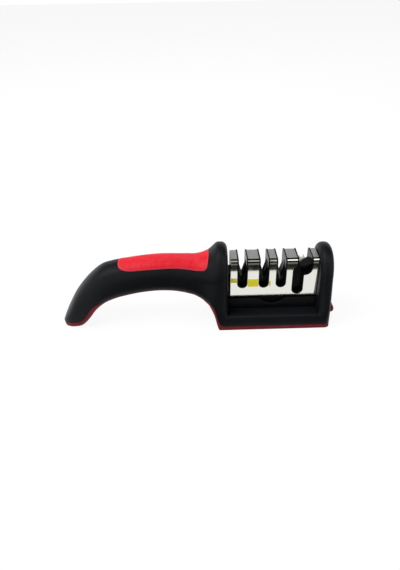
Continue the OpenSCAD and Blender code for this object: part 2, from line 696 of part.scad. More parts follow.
// Latch spring: an open coil along X between the seat in the body and the slide's lip
spring_turns = 7;
spring_rings = 8;
spring_sides = 6;
module latch_spring() {
    r = (spring_d - spring_wire) / 2;
    q = spring_wire / 2;
    run = spring_length - spring_wire - 2 * pocket_gap;
    x0 = spring_seat_x + q + pocket_gap;
    steps = spring_turns * spring_rings;
    lead = atan2(run / spring_turns, 2 * PI * r);
    points = [for (i = [0:steps]) for (k = [0:spring_sides - 1])
        let (a = 360 * i / spring_rings, b = 360 * k / spring_sides, out = r + q * cos(b), up = q * sin(b))
            [x0 + run * i / steps + up * cos(lead),
                out * cos(a) + up * sin(lead) * sin(a),
                spring_mid_z + out * sin(a) - up * sin(lead) * cos(a)]];
    last = steps * spring_sides;
    faces = concat(
        [[for (k = [0:spring_sides - 1]) k]],
        [for (i = [0:steps - 1]) for (k = [0:spring_sides - 1])
            let (a = i * spring_sides + k, b = i * spring_sides + (k + 1) % spring_sides)
                for (f = [[a, a + spring_sides, b], [b, a + spring_sides, b + spring_sides]]) f],
        [[for (k = [spring_sides - 1:-1:0]) last + k]]
    );
    echo(spring_least_gap = run / spring_turns * cos(lead) - spring_wire);
    color([0.75, 0.76, 0.78]) placed() polyhedron(points, faces, convexity = 10);
}

module latch_bridge() {
    low = bridge_top - bridge_thick;
    color([0.14, 0.14, 0.15]) placed() difference() {
        span(bridge_x, bridge_x + bridge_length, bridge_y + bridge_boss_d / 2, low, bridge_top);
        for (p = bridge_places())
            translate([p[0], p[1], low - past]) cylinder(d = shank_bore_d, h = bridge_thick + 2 * past);
    }
}
module bridge_screws() {
    color([0.62, 0.63, 0.65]) placed()
        for (p = bridge_places())
            translate([p[0], p[1], bridge_top - bridge_thick - screw_head_h])
                cross_screw(bridge_screw_length);
}

// Outline of a knife slot and of the scissors slot in the XZ plane, grown by a width
module knife_outline(mid, grow) {
    w = slot_width + 2 * grow;
    translate([mid, slot_bottom + slot_width / 2]) circle(d = w);
    translate([mid - w / 2, slot_bottom + slot_width / 2])
        square([w, steel_top - slot_bottom + slot_width]);
}
// Heights of the round of the mouth and of the top of the leg above the leg's bottom
mouth_rise = 25.7;
leg_rise = 22.6;
mouth_turn = leg_bottom + mouth_rise;
leg_turn = leg_bottom + leg_rise;
module scissor_outline(grow) {
    w = mouth_width + 2 * grow;
    v = leg_width + 2 * grow;
    high = steel_top + slot_width;
    translate([mouth_mid, mouth_turn]) circle(d = w);
    translate([mouth_mid - w / 2, mouth_turn]) square([w, high - mouth_turn]);
    translate([leg_mid, leg_turn]) circle(d = v);
    translate([leg_mid - v / 2, leg_bottom + leg_width / 2])
        square([v, leg_turn - leg_bottom - leg_width / 2]);
    translate([leg_mid, leg_bottom + leg_width / 2]) circle(d = v);
}
module along_y(y0, y1) {
    translate([0, y1, 0]) rotate([90, 0, 0]) linear_extrude(y1 - y0) children();
}
module all_outlines(grow) {
    for (mid = [slot_one, slot_two, slot_three]) knife_outline(mid, grow);
    scissor_outline(grow);
}

// Outline of the cartridge in the YZ plane: an arch with rounded bends
module bend_outline(half, top, radius, low) {
    translate([-half, low]) square([2 * half, top - radius - low]);
    translate([-half + radius, low]) square([2 * (half - radius), top - low]);
    for (s = [-1, 1]) translate([s * (half - radius), top - radius]) circle(r = radius);
}
module along_x(x0, x1) {
    translate([x0, 0, 0]) rotate([90, 0, 90]) linear_extrude(x1 - x0) children();
}

// Steel cover: one bent sheet over the cartridge, with all four slots cut through it
module steel_cover() {
    color([0.78, 0.79, 0.8]) placed() difference() {
        along_x(steel_left, steel_right) difference() {
            bend_outline(cart_half, steel_top, steel_bend, steel_bottom);
            bend_outline(core_half_thick, steel_top - steel_sheet, steel_bend - steel_sheet,
                steel_bottom - past);
        }
        along_y(-cartridge_thick, cartridge_thick) all_outlines(0);
    }
}

// Core: two black halves that meet at the middle plane and clamp the sharpening pieces
rod_y = rod_d / 2 + pocket_gap;
blade_y = blade_thick / 2 + pocket_gap;
web_skin = 0.7;
web_half = rod_y + rod_d / 2 + pocket_gap + web_skin;
base_thick = 4.5;
base_low = deck_height + fit_gap;
core_low = base_low + base_thick;
// How far the walls of a knife gap lie above the middle lines of its rods
vee_lift_share = 0.15;
vee_lift = rod_d * vee_lift_share;
slot_clear = slot_width / 2 - rim_width - pocket_gap;
function vee_apex() = cross_height + vee_lift / sin(rod_lean);
module vee_gap(mid) {
    top = steel_top + slot_width;
    break_z = vee_apex() + slot_clear / tan(rod_lean);
    polygon([
        [mid, vee_apex()], [mid + slot_clear, break_z], [mid + slot_clear, top],
        [mid - slot_clear, top], [mid - slot_clear, break_z]
    ]);
}
// The scissors gap narrows to a nip under the rod, left of the leg's middle
nip_left = 3.3;
nip_drop = 3.6;
nip = [leg_mid - nip_left, mouth_turn - nip_drop];
ramp_rise = 5.2;
brow_rise = 3.4;
module scissor_gap() {
    high = steel_top + slot_width;
    left = mouth_mid - mouth_width / 2 + rim_width;
    right = mouth_mid + mouth_width / 2 - rim_width;
    polygon([
        nip, [right, nip[1] + ramp_rise], [right, high], [left, high], [left, nip[1] + brow_rise]
    ]);
}
flange_height = 48;
module core_block() {
    union() {
        along_x(steel_left, steel_right)
            bend_outline(core_half_thick, steel_top - steel_sheet, steel_bend - steel_sheet, core_low);
        along_x(steel_left, steel_right)
            translate([-cart_half, core_low]) square([cartridge_thick, steel_bottom - pocket_gap - core_low]);
        // end flange that fills the gap beside the left post
        along_x(left_face + draft + fit_gap, steel_left)
            bend_outline(core_half_thick, flange_height, steel_bend, core_low);
        intersection() {
            along_x(steel_left, steel_right)
                bend_outline(cart_half + rim_proud, steel_top + rim_proud, steel_bend + rim_proud, core_low);
            along_y(-cartridge_thick, cartridge_thick) all_outlines(-pocket_gap);
        }
    }
}
// Along the middle line of a leaning rod, from its foot: side -1 leans to the left
module slant(mid, side) {
    translate([mid, 0, cross_height]) rotate([0, side * rod_lean, 0])
        translate([0, 0, (rod_foot - cross_height) / cos(rod_lean)])
            children();
}
function slant_length() = (rod_head - rod_foot) / cos(rod_lean);
// The scissors rod's middle line runs up through a point back and up from the nip. It starts
// inside the core, where its end is clear of the last slot's rod, which leans towards it.
rod_back = 3.4;
rod_up = 1.2;
rod_line = [nip[0] - rod_back, nip[1] + rod_up];
rod_line_top = rod_line[1] + scissor_rod_d / 2 * cos(scissor_rod_slope);
rod_line_left = rod_line[0] - scissor_rod_d / 2 * sin(scissor_rod_slope);
lean_reach = slot_three + (rod_line_top - cross_height) * tan(rod_lean) + rod_d / 2 / cos(rod_lean);
rod_skip = (lean_reach - rod_line_left)
    / (cos(scissor_rod_slope) - sin(scissor_rod_slope) * tan(rod_lean));
scissor_rod_start = [
    rod_line[0] + rod_skip * cos(scissor_rod_slope), rod_line[1] + rod_skip * sin(scissor_rod_slope)
];
module scissor_rod_at() {
    translate([scissor_rod_start[0], 0, scissor_rod_start[1]])
        rotate([0, 90 - scissor_rod_slope, 0]) children();
}
core_screw_z = (core_low + steel_bottom) / 2;
core_screw_xs = [steel_left + first_tab, (steel_left + steel_right) / 2, steel_right - first_tab];
core_screw_length = 15;
// One half of the core: side is -1 for the front half and 1 for the rear half
module core_half(side) {
    y0 = side < 0 ? -cartridge_thick : 0;
    y1 = side < 0 ? 0 : cartridge_thick;
    difference() {
        intersection() {
            core_block();
            translate([0, y0, 0]) cube([body_length, cartridge_thick, steel_top + cartridge_thick]);
        }
        // blind pockets in the face, then the narrow gaps through the web
        along_y(side < 0 ? -cartridge_thick : web_half, side < 0 ? -web_half : cartridge_thick)
            all_outlines(-rim_width - pocket_gap);
        along_y(-cartridge_thick, cartridge_thick) {
            for (mid = [slot_one, slot_two, slot_three]) vee_gap(mid);
            scissor_gap();
        }
        blade_pocket(slot_one, side);
        for (mid = [slot_two, slot_three]) half_rod_pocket(mid, side);
        scissor_rod_at() translate([0, 0, -pocket_gap])
            cylinder(d = scissor_rod_d + 2 * pocket_gap, h = scissor_rod_length);
        core_bores(side);
    }
}
module half_rod_pocket(mid, side) {
    slant(mid, side) {
        translate([0, side * rod_y, -pocket_gap])
            cylinder(d = rod_d + 2 * pocket_gap, h = slant_length() + 2 * pocket_gap);
        translate([-rod_d / 2 - pocket_gap, side < 0 ? -rod_y : -past, -pocket_gap])
            cube([rod_d + 2 * pocket_gap, rod_y + past, slant_length() + 2 * pocket_gap]);
    }
}
module blade_pocket(mid, side) {
    slant(mid, side)
        translate([-blade_width / 2 - pocket_gap,
            side < 0 ? -blade_thick - 2 * pocket_gap : -past, -pocket_gap])
            cube([blade_width + 2 * pocket_gap, blade_thick + 2 * pocket_gap + past,
                slant_length() + 2 * pocket_gap]);
}
module core_bores(side) {
    for (x = core_screw_xs) translate([x, cart_half, core_screw_z]) rotate([90, 0, 0]) {
        if (side > 0) {
            cylinder(d = shank_bore_d, h = cartridge_thick);
            translate([0, 0, -past]) cylinder(d = head_bore_d, h = past + head_seat);
        } else {
            cylinder(d = pilot_d, h = core_screw_length + head_seat);
        }
    }
    for (p = base_screw_spots()) if (p[1] * side > 0)
        translate([p[0], p[1], base_low]) cylinder(d = pilot_d, h = base_screw_length + screw_gap);
}
module core_front() {
    color([0.11, 0.11, 0.12]) placed() core_half(-1);
}
module core_rear() {
    color([0.11, 0.11, 0.12]) placed() core_half(1);
}
module core_screws() {
    color([0.62, 0.63, 0.65]) placed()
        for (x = core_screw_xs)
            translate([x, cart_half - screw_gap, core_screw_z]) rotate([90, 0, 0])
                cross_screw(core_screw_length);
}

// Cartridge base: the plate that closes the core from below, with the hook for the latch
base_screw_length = 6;
base_inset = 3.4;
hook_low = sole_thick + 2 * fit_gap;
function base_screw_spots() = [
    for (x = [steel_left + base_inset, steel_right - base_inset]) for (s = [-1, 1])
        [x, s * (cart_half - base_inset)]
];
module cartridge_base() {
    left = left_face + draft + fit_gap;
    color([0.12, 0.12, 0.13]) placed() difference() {
        union() {
            span(left, steel_right, cart_half, base_low, core_low);
            span(hook_x, hook_x + hook_length, hook_half, hook_low, base_low);
            span(nose_x, hook_x, hook_half, nose_top - nose_height, nose_top);
        }
        for (p = base_screw_spots()) translate([p[0], p[1], base_low]) {
            translate([0, 0, -past]) cylinder(d = head_bore_d, h = past + head_seat);
            cylinder(d = shank_bore_d, h = core_low);
        }
    }
}
module base_screws() {
    color([0.62, 0.63, 0.65]) placed()
        for (p = base_screw_spots())
            translate([p[0], p[1], base_low + screw_gap]) cross_screw(base_screw_length);
}

// Sharpening pieces: two carbide blades, two diamond rods, two ceramic rods, one scissors rod
module slanted_rod(mid, side) {
    slant(mid, side)
        translate([0, side * rod_y, 0]) cylinder(d = rod_d, h = slant_length());
}
module slanted_blade(side) {
    slant(slot_one, side)
        translate([-blade_width / 2, side * blade_y - blade_thick / 2, 0])
            cube([blade_width, blade_thick, slant_length()]);
}
module carbide_blade_left() {
    color([0.45, 0.46, 0.48]) placed() slanted_blade(-1);
}
module carbide_blade_right() {
    color([0.45, 0.46, 0.48]) placed() slanted_blade(1);
}
module diamond_rod_left() {
    color([0.52, 0.54, 0.56]) placed() slanted_rod(slot_two, -1);
}
module diamond_rod_right() {
    color([0.52, 0.54, 0.56]) placed() slanted_rod(slot_two, 1);
}
module ceramic_rod_left() {
    color([0.85, 0.85, 0.82]) placed() slanted_rod(slot_three, -1);
}
module ceramic_rod_right() {
    color([0.85, 0.85, 0.82]) placed() slanted_rod(slot_three, 1);
}
module scissor_rod() {
    color([0.93, 0.93, 0.9]) placed() scissor_rod_at() cylinder(d = scissor_rod_d, h = scissor_rod_length);
}

body_shell();
grip_pad();
sole();
sole_screws();
release_button();
latch_slide();
latch_spring();
latch_bridge();
bridge_screws();
core_front();
core_rear();
core_screws();
steel_cover();
cartridge_base();
base_screws();
carbide_blade_left();
carbide_blade_right();
diamond_rod_left();
diamond_rod_right();
ceramic_rod_left();
ceramic_rod_right();
scissor_rod();
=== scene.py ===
"""A hand-held knife and scissors sharpener on a pale studio floor.

Places are in millimetres: x from the tip of the tail, y away from the front, z up from the table.
"""
import math

import bmesh
import bpy
import numpy as np
from mathutils import Matrix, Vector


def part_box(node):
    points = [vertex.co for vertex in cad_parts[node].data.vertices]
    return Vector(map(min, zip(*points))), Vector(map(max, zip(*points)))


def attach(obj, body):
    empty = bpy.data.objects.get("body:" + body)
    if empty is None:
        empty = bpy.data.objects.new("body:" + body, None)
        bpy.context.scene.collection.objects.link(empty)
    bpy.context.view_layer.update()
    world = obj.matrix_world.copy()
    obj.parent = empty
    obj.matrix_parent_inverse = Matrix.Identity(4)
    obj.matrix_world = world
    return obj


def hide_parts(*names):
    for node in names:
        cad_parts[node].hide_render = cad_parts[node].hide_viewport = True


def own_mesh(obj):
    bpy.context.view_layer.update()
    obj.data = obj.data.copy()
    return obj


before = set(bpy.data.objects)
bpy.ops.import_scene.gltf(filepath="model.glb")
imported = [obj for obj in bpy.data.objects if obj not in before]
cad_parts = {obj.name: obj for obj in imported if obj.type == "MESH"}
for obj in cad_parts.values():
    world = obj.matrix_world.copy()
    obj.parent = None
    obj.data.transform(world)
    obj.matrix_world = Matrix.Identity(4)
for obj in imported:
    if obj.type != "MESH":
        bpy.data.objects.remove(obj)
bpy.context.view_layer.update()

# Camera: a 34 mm lens on the picture's long side, 40 cm in front of the handle and 29 cm above
# the table, aimed down and turned slightly, as the photograph was taken.
MM = 0.001
TAIL_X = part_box("body_shell")[0][0] / MM
CAMERA_PLACE = (116.76, -403.98, 290.54)
CAMERA_YAW = math.radians(0.9)
CAMERA_PITCH = math.radians(32.575)
CAMERA_ROLL = math.radians(-1.004)
SENSOR = 36.0
# the focal length and the picture's height, both in pixels of the photograph
FOCAL_PIXELS = 540.0
FRAME_HEIGHT = 570.0


def metres(points):
    """Points in millimetres from the tail tip as metres in the frame: a shift along x and a scale."""
    return (np.asarray(points, float) + (TAIL_X, 0, 0)) * MM


camera_data = bpy.data.cameras.new("camera")
camera_data.lens = FOCAL_PIXELS / FRAME_HEIGHT * SENSOR
camera_data.sensor_width = SENSOR
camera = bpy.data.objects.new("camera", camera_data)
bpy.context.scene.collection.objects.link(camera)
bpy.context.scene.camera = camera
forward = np.array([
    math.sin(CAMERA_YAW) * math.cos(CAMERA_PITCH),
    math.cos(CAMERA_YAW) * math.cos(CAMERA_PITCH),
    -math.sin(CAMERA_PITCH),
])
level_right = np.array([math.cos(CAMERA_YAW), -math.sin(CAMERA_YAW), 0])
level_up = np.cross(level_right, forward)
right = level_right * math.cos(CAMERA_ROLL) + level_up * math.sin(CAMERA_ROLL)
up = level_up * math.cos(CAMERA_ROLL) - level_right * math.sin(CAMERA_ROLL)
place = metres(CAMERA_PLACE)
camera.matrix_world = Matrix([
    [right[0], up[0], -forward[0], place[0]],
    [right[1], up[1], -forward[1], place[1]],
    [right[2], up[2], -forward[2], place[2]],
    [0, 0, 0, 1],
])


# Studio: a matt white table, a white surround, three soft lamps, and dark and bright cards that
# only reflections see, which draw the lines along the polished steel.
WHITE = "FFFFFF"
TABLE_WHITE = "F4F4F2"
CARD_BROWN = "2A2420"
CARD_BLACK = "0B0B0C"
FLOOR_HALF = 3.0
CAMERA_WHITE_SHARE = 0.92
AMBIENT = 0.2


def linear(colour, alpha=1.0):
    """An sRGB hex colour as linear red, green, blue and alpha."""
    parts = [int(colour[i:i + 2], 16) / 255 for i in (0, 2, 4)]
    return tuple(c / 12.92 if c <= 0.04045 else ((c + 0.055) / 1.055) ** 2.4 for c in parts) + (alpha,)


def add(tree, kind, links=(), values=(), **settings):
    """Adds a node: settings are its own attributes, values its sockets' numbers, links its inputs."""
    made = tree.nodes.new(kind)
    for name, value in settings.items():
        setattr(made, name, value)
    for socket, value in dict(values).items():
        made.inputs[socket].default_value = value
    for socket, source in dict(links).items():
        tree.links.new(source, made.inputs[socket])
    return made


def blank_material(name):
    """A new node material with nothing in it but its output."""
    made = bpy.data.materials.new(name)
    made.use_nodes = True
    made.node_tree.nodes.clear()
    return made, made.node_tree, made.node_tree.nodes.new("ShaderNodeOutputMaterial")


def seen_directly(tree):
    """A factor of 1 for rays from the camera, a mirror or a glass, and 0 for the rest."""
    path = add(tree, "ShaderNodeLightPath")
    either = add(tree, "ShaderNodeMath", {0: path.outputs["Is Camera Ray"], 1: path.outputs["Is Glossy Ray"]},
                 operation="MAXIMUM")
    both = add(tree, "ShaderNodeMath", {0: either.outputs[0], 1: path.outputs["Is Transmission Ray"]},
               operation="MAXIMUM")
    return both.outputs[0]


def stage_plane(name, corners, material, glossy_only=False):
    """A flat four-cornered stage piece in metres, seen in full or by reflections only."""
    mesh = bpy.data.meshes.new(name)
    mesh.from_pydata([tuple(c) for c in corners], [], [(0, 1, 2, 3)])
    made = bpy.data.objects.new(name, mesh)
    bpy.context.scene.collection.objects.link(made)
    made.data.materials.append(material)
    if glossy_only:
        made.visible_camera = False
        made.visible_diffuse = False
        made.visible_shadow = False
        made.visible_transmission = False


floor_material, tree, out = blank_material("matt_white_table")
paint = add(tree, "ShaderNodeBsdfDiffuse", values={"Color": linear(TABLE_WHITE)})
glow = add(tree, "ShaderNodeEmission", values={"Color": linear(WHITE), "Strength": 1.0})
share = add(tree, "ShaderNodeMath", {0: seen_directly(tree)}, {1: CAMERA_WHITE_SHARE}, operation="MULTIPLY")
mixed = add(tree, "ShaderNodeMixShader", {0: share.outputs[0], 1: paint.outputs[0], 2: glow.outputs[0]})
tree.links.new(mixed.outputs[0], out.inputs[0])
stage_plane("floor", [(-FLOOR_HALF, -FLOOR_HALF, 0), (FLOOR_HALF, -FLOOR_HALF, 0),
                      (FLOOR_HALF, FLOOR_HALF, 0), (-FLOOR_HALF, FLOOR_HALF, 0)], floor_material)

bpy.context.scene.view_settings.view_transform = "Standard"
world = bpy.data.worlds.new("white_surround")
world.use_nodes = True
tree = world.node_tree
tree.nodes.clear()
strength = add(tree, "ShaderNodeMapRange", {"Value": seen_directly(tree)}, {"To Min": AMBIENT, "To Max": 1.0})
light = add(tree, "ShaderNodeBackground", {"Strength": strength.outputs[0]}, {"Color": linear(WHITE)})
out = tree.nodes.new("ShaderNodeOutputWorld")
tree.links.new(light.outputs[0], out.inputs[0])
bpy.context.scene.world = world


# Dark strips on the table and a screen beyond it, in the order in which the polished steel shows
# them from its foot upwards: brown, black, a pale line, then black again to above the horizon, and
# over them a strip light, dimmer on its left, and a black card overhead. The strips widen away from
# the steel as its reflections do. Cards beside the base, the handle and the right post keep the
# white table out of the black plastic.
CARD_FAR = -1500.0
CARD_SIDE = 1500.0
CARD_RISE = 1.5
HANDLE_LEFT = 35.0
FAN_LEFT = (120.0, -0.05)
FAN_RIGHT = (240.0, -0.32)
LINE_GREY = "7C7C7A"
# places y of the near and far edge of each strip
BASE_STRIP = (-31.0, -50.0)
SIDE_STRIP = (-50.0, -94.5)
BROWN_STRIP = (-94.5, -102.8)
LINE_STRIP = (-107.5, -145.0)
HANDLE_FAR = -300.0
# ends of the side strips beside the handle and beside the right post, at their near and far edge
HANDLE_STRIP_RIGHT = (150.0, 155.0)
POST_STRIP_LEFT = (237.0, 249.5)
# places y and z of the edges of the cards overhead
HORIZON_TOP = (CARD_FAR, 990.0)
STRIP_NEAR = (-285.0, 970.0)
STRIP_FAR = (-1011.0, 689.0)
STRIP_SPLIT = 356.0
STRIP_STRENGTH = 1.5
STRIP_DIM = 0.5
OVERHEAD_FRONT = (-231.0, 800.0)
OVERHEAD_BACK = (1250.0, 800.0)


def fan(y):
    """Left and right edge of the strips at a place y: two straight lines that spread to the front."""
    return FAN_LEFT[0] + FAN_LEFT[1] * y, FAN_RIGHT[0] + FAN_RIGHT[1] * y


def card(name, colour, near, far, left, right, strength=1.0):
    """A card in millimetres that only reflections see. Its near and far edge are places y and z, and
    left and right say where each of the two starts and ends along x."""
    material, tree, out = blank_material(name)
    face = add(tree, "ShaderNodeEmission", values={"Color": linear(colour), "Strength": strength})
    tree.links.new(face.outputs[0], out.inputs[0])
    corners = [(left[0], *near), (right[0], *near), (right[1], *far), (left[1], *far)]
    stage_plane(name, metres(corners), material, glossy_only=True)


def floor_card(name, colour, near, far, left=None, right=None):
    """A card lying on the table between two places y, its ends given or taken from the fan."""
    left = left or (fan(near)[0], fan(far)[0])
    right = right or (fan(near)[1], fan(far)[1])
    card(name, colour, (near, CARD_RISE), (far, CARD_RISE), left, right)


from_handle = (HANDLE_LEFT, HANDLE_LEFT)
to_side = (CARD_SIDE, CARD_SIDE)
floor_card("base_card", CARD_BLACK, *BASE_STRIP, from_handle, to_side)
floor_card("handle_card", CARD_BLACK, *SIDE_STRIP, from_handle, HANDLE_STRIP_RIGHT)
floor_card("post_card", CARD_BLACK, *SIDE_STRIP, POST_STRIP_LEFT, to_side)
floor_card("brown_card", CARD_BROWN, *BROWN_STRIP, from_handle)
floor_card("edge_card", CARD_BLACK, BROWN_STRIP[1], LINE_STRIP[0], from_handle)
floor_card("line_card", LINE_GREY, *LINE_STRIP)
floor_card("far_card", CARD_BLACK, LINE_STRIP[1], CARD_FAR)
floor_card("far_handle_card", CARD_BLACK, LINE_STRIP[0], HANDLE_FAR, from_handle,
           (fan(LINE_STRIP[0])[0], fan(HANDLE_FAR)[0]))
fan_left, fan_right = fan(CARD_FAR)
card("horizon_card", CARD_BLACK, (CARD_FAR, 0), HORIZON_TOP, (fan_left, fan_left), (fan_right, fan_right))
for name, left, right, strength in (("dim_strip_light", -CARD_SIDE, STRIP_SPLIT, STRIP_DIM),
                                    ("strip_light", STRIP_SPLIT, CARD_SIDE, STRIP_STRENGTH)):
    card(name, WHITE, STRIP_NEAR, STRIP_FAR, (left, left), (right, right), strength)
card("top_card", CARD_BLACK, OVERHEAD_FRONT, OVERHEAD_BACK, (-CARD_SIDE, -CARD_SIDE), to_side)

# each lamp's place in metres and its power
LAMPS = {
    "key_lamp": ((-0.7, -0.25, 1.25), 23.0),
    "fill_lamp": ((0.8, -0.3, 1.15), 1.5),
    "back_lamp": ((0.1, 0.9, 1.2), 9.0),
}
LAMP_AIM = (0, 0, 0.03)
LAMP_SIZE = 0.9


def soft_lamp(name, at, power):
    """A square area lamp at a place: its z axis points away from what it is aimed at."""
    data = bpy.data.lights.new(name, "AREA")
    data.energy = power
    data.size = LAMP_SIZE
    made = bpy.data.objects.new(name, data)
    bpy.context.scene.collection.objects.link(made)
    z = np.subtract(at, LAMP_AIM)
    z = z / np.linalg.norm(z)
    x = np.cross((0, 0, 1), z)
    x = x / np.linalg.norm(x)
    y = np.cross(z, x)
    made.matrix_world = Matrix([[x[i], y[i], z[i], at[i]] for i in range(3)] + [[0, 0, 0, 1]])


for name, (at, power) in LAMPS.items():
    soft_lamp(name, at, power)


# Body: one hollow moulding in black ABS. The handle's cross-section changes from a low foot at
# the tail, over an arch, to the tall left post, and the ledge joins that to the right post.
HANDLE_LENGTH = 139.0
HANDLE_HALF = 14.0
LEFT_POST_TOP = 73.0
RIGHT_POST_TOP = 70.3
SHOULDER = 45.0
POST_HALF = 21.0
BASE_HALF = 25.0
LEFT_FACE = 146.8
RIGHT_FACE = 225.0
BODY_LENGTH = 236.7
SOLE_THICK = 4.0
SOLE_ARCH = 4.0
DECK_TOP = 14.7
DECK_ROUND = 1.8
POST_EDGE = 5.0
DRAFT = 0.3
END_ROUND = 5.4
END_INSET = 10.0
GROOVE = 0.35
SPREAD_SHARE = 0.38
# least share of the height over the parting line that lies below the widest place
LEAST_SIDE = 0.2
# powers of the right post's upper and lower rounding
POST_POWERS = (2.2, 80)
# place along the handle, crown, underside and widest height as shares of the left post's height,
# half width as a share of the handle's, share of the flare, powers of the upper and lower rounding
SECTION_SHARES = np.array([
    [0.000, 0.055, 0.036, 0.045, 0.45, 0.00, 2.3, 3.0],
    [0.011, 0.099, 0.009, 0.063, 0.72, 0.00, 2.3, 4.0],
    [0.022, 0.146, 0.001, 0.079, 0.88, 0.00, 2.3, 6.0],
    [0.043, 0.223, 0.000, 0.107, 1.05, 0.00, 2.3, 6.0],
    [0.086, 0.369, 0.001, 0.183, 1.18, 0.00, 2.3, 6.0],
    [0.130, 0.487, 0.012, 0.249, 1.18, 0.00, 2.3, 5.0],
    [0.173, 0.584, 0.085, 0.335, 1.15, 0.00, 2.3, 4.2],
    [0.216, 0.665, 0.188, 0.427, 1.12, 0.00, 2.3, 3.6],
    [0.273, 0.748, 0.279, 0.513, 1.08, 0.00, 2.3, 3.2],
    [0.345, 0.793, 0.345, 0.569, 1.04, 0.00, 2.3, 3.2],
    [0.432, 0.820, 0.391, 0.606, 1.01, 0.00, 2.3, 3.2],
    [0.561, 0.853, 0.434, 0.641, 0.99, 0.00, 2.3, 3.2],
    [0.647, 0.863, 0.444, 0.647, 1.00, 0.00, 2.3, 3.2],
    [0.734, 0.861, 0.430, 0.638, 1.00, 0.00, 2.3, 3.2],
    [0.806, 0.855, 0.405, 0.621, 1.05, 0.02, 2.3, 3.4],
    [0.863, 0.850, 0.380, 0.612, 1.06, 0.19, 2.3, 4.0],
    [0.914, 0.871, 0.330, 0.610, 1.04, 0.46, 2.3, 6.0],
    [0.950, 0.911, 0.264, 0.612, 1.02, 0.74, 2.25, 10.0],
    [0.975, 0.961, 0.166, 0.614, 1.01, 0.92, 2.2, 24.0],
    [0.990, 0.990, 0.055, 0.616, 1.00, 0.98, 2.2, 50.0],
    [1.000, 0.999, 0.006, 0.616, 1.00, 1.00, 2.2, 70.0],
    [1.010, 1.000, 0.000, 0.616, 1.00, 1.00, 2.2, 80.0],
])
# place along the handle, then shares of the sole's thickness at the base and at the arch
PARTING_SHARES = np.array([
    [0.000, 0.30, 0.00], [0.011, 0.75, 0.00], [0.022, 1.05, 0.00], [0.037, 1.28, 0.00],
    [0.069, 1.53, 0.00], [0.101, 1.68, 0.00], [0.123, 1.83, 0.00], [0.146, 1.93, 0.00],
    [0.167, 2.28, 0.00], [0.191, 2.37, 0.00], [0.211, 2.18, 0.00], [0.228, 1.99, 0.00],
    [0.246, 1.41, 0.20], [0.265, 0.80, 0.50], [0.293, 0.24, 0.80], [0.330, 0.03, 0.97],
    [0.380, 0.00, 1.00], [0.820, 0.00, 1.00], [0.883, 0.02, 1.00], [0.913, 0.14, 0.95],
    [0.931, 0.31, 0.85], [0.950, 0.80, 0.63], [0.965, 1.28, 0.40], [0.976, 1.85, 0.20],
    [0.983, 2.03, 0.05], [0.990, 2.03, 0.00], [0.997, 2.00, 0.00], [1.008, 1.60, 0.00],
    [1.020, 1.05, 0.00], [1.030, 1.00, 0.00],
])


def smooth_read(x, table, column):
    """A table's column along a smooth curve: cubic pieces whose slopes are weighted chord slopes."""
    place, value = table[:, 0], table[:, column]
    step = np.diff(place)
    chord = np.diff(value) / step
    slope = np.concatenate([chord[:1], (chord[:-1] * step[1:] + chord[1:] * step[:-1])
                            / (step[1:] + step[:-1]), chord[-1:]])
    i = np.clip(np.searchsorted(place, x, "right") - 1, 0, len(step) - 1)
    u = np.clip((x - place[i]) / step[i], 0, 1)
    return (value[i] * (1 - 3 * u**2 + 2 * u**3) + value[i + 1] * (3 * u**2 - 2 * u**3)
            + slope[i] * step[i] * (u - 2 * u**2 + u**3) + slope[i + 1] * step[i] * (u**3 - u**2))


def section(x):
    """The sizes of the cross-sections at places x, each a column: the tables' shares times the sizes
    that they belong to on the handle, and constant sizes on the right post."""
    share = x / HANDLE_LENGTH
    on_right = x > (LEFT_FACE + RIGHT_FACE) / 2
    read = [smooth_read(share, SECTION_SHARES, c) for c in range(8)]
    s = {}
    s["crown"] = np.where(on_right, RIGHT_POST_TOP, LEFT_POST_TOP * read[1])
    s["under"] = np.where(on_right, 0, np.maximum(0, LEFT_POST_TOP * read[2]))
    sole = (smooth_read(share, PARTING_SHARES, 1) * SOLE_THICK
            + smooth_read(share, PARTING_SHARES, 2) * SOLE_ARCH)
    s["parting"] = s["under"] + np.where(on_right, SOLE_THICK, sole)
    s["belt"] = np.where(on_right, SHOULDER, LEFT_POST_TOP * read[3])
    s["belt"] = np.maximum(s["belt"], s["parting"] + LEAST_SIDE * (s["crown"] - s["parting"]))
    flare = np.where(on_right, 1, read[5])
    s["half"] = HANDLE_HALF * read[4] * (1 - flare) + POST_HALF * flare
    s["spread"] = (BASE_HALF - POST_HALF) * flare
    s["up_power"] = np.where(on_right, POST_POWERS[0], read[6])
    s["low_power"] = np.where(on_right, POST_POWERS[1], read[7])
    return {name: value[:, None] for name, value in s.items()}


def side_half(s, z):
    """Half width at height z below the belt: a superellipse, widened towards the foot of a post."""
    u = np.clip((s["belt"] - z) / (s["belt"] - s["under"]), 0, 1)
    wide = s["half"] + s["spread"] * np.minimum(1, u / (1 - SPREAD_SHARE))
    return wide * np.maximum(0, 1 - u ** s["low_power"]) ** (1 / s["low_power"])


def fillet(distance, radius):
    """How far a quarter-round edge of a radius draws in at a distance from its face."""
    d = np.clip(distance, 0, radius)
    return radius - np.sqrt(radius**2 - (radius - d) ** 2)


def end_inset(x):
    """How far the end face's rounding draws the section in: a superellipse of powers 2 and 4."""
    t = np.clip(1 - (BODY_LENGTH - x) / END_ROUND, 0, 1)
    return END_INSET * (1 - (1 - t**2) ** 0.25)


def smoothstep(value, low, high):
    """0 below low, 1 above high and an S-curve between."""
    t = np.clip((value - low) / (high - low), 0, 1)
    return t * t * (3 - 2 * t)


# Rows along the body, closer together at the edges of the posts, and columns round a section:
# the groove above the sole, the side, then the crown. The button's hole is in the end face, and
# the well in the ledge takes the cartridge's hook.
HOLE_HALF = 8.75
HOLE_LOW = 5.0
HOLE_HIGH = 9.1
HOLE_DEPTH = 3.2
WELL_X = (214.1, 219.7)
WELL_HALF = 3.9
WELL_FLOOR = 4.3
HAIR = 0.02
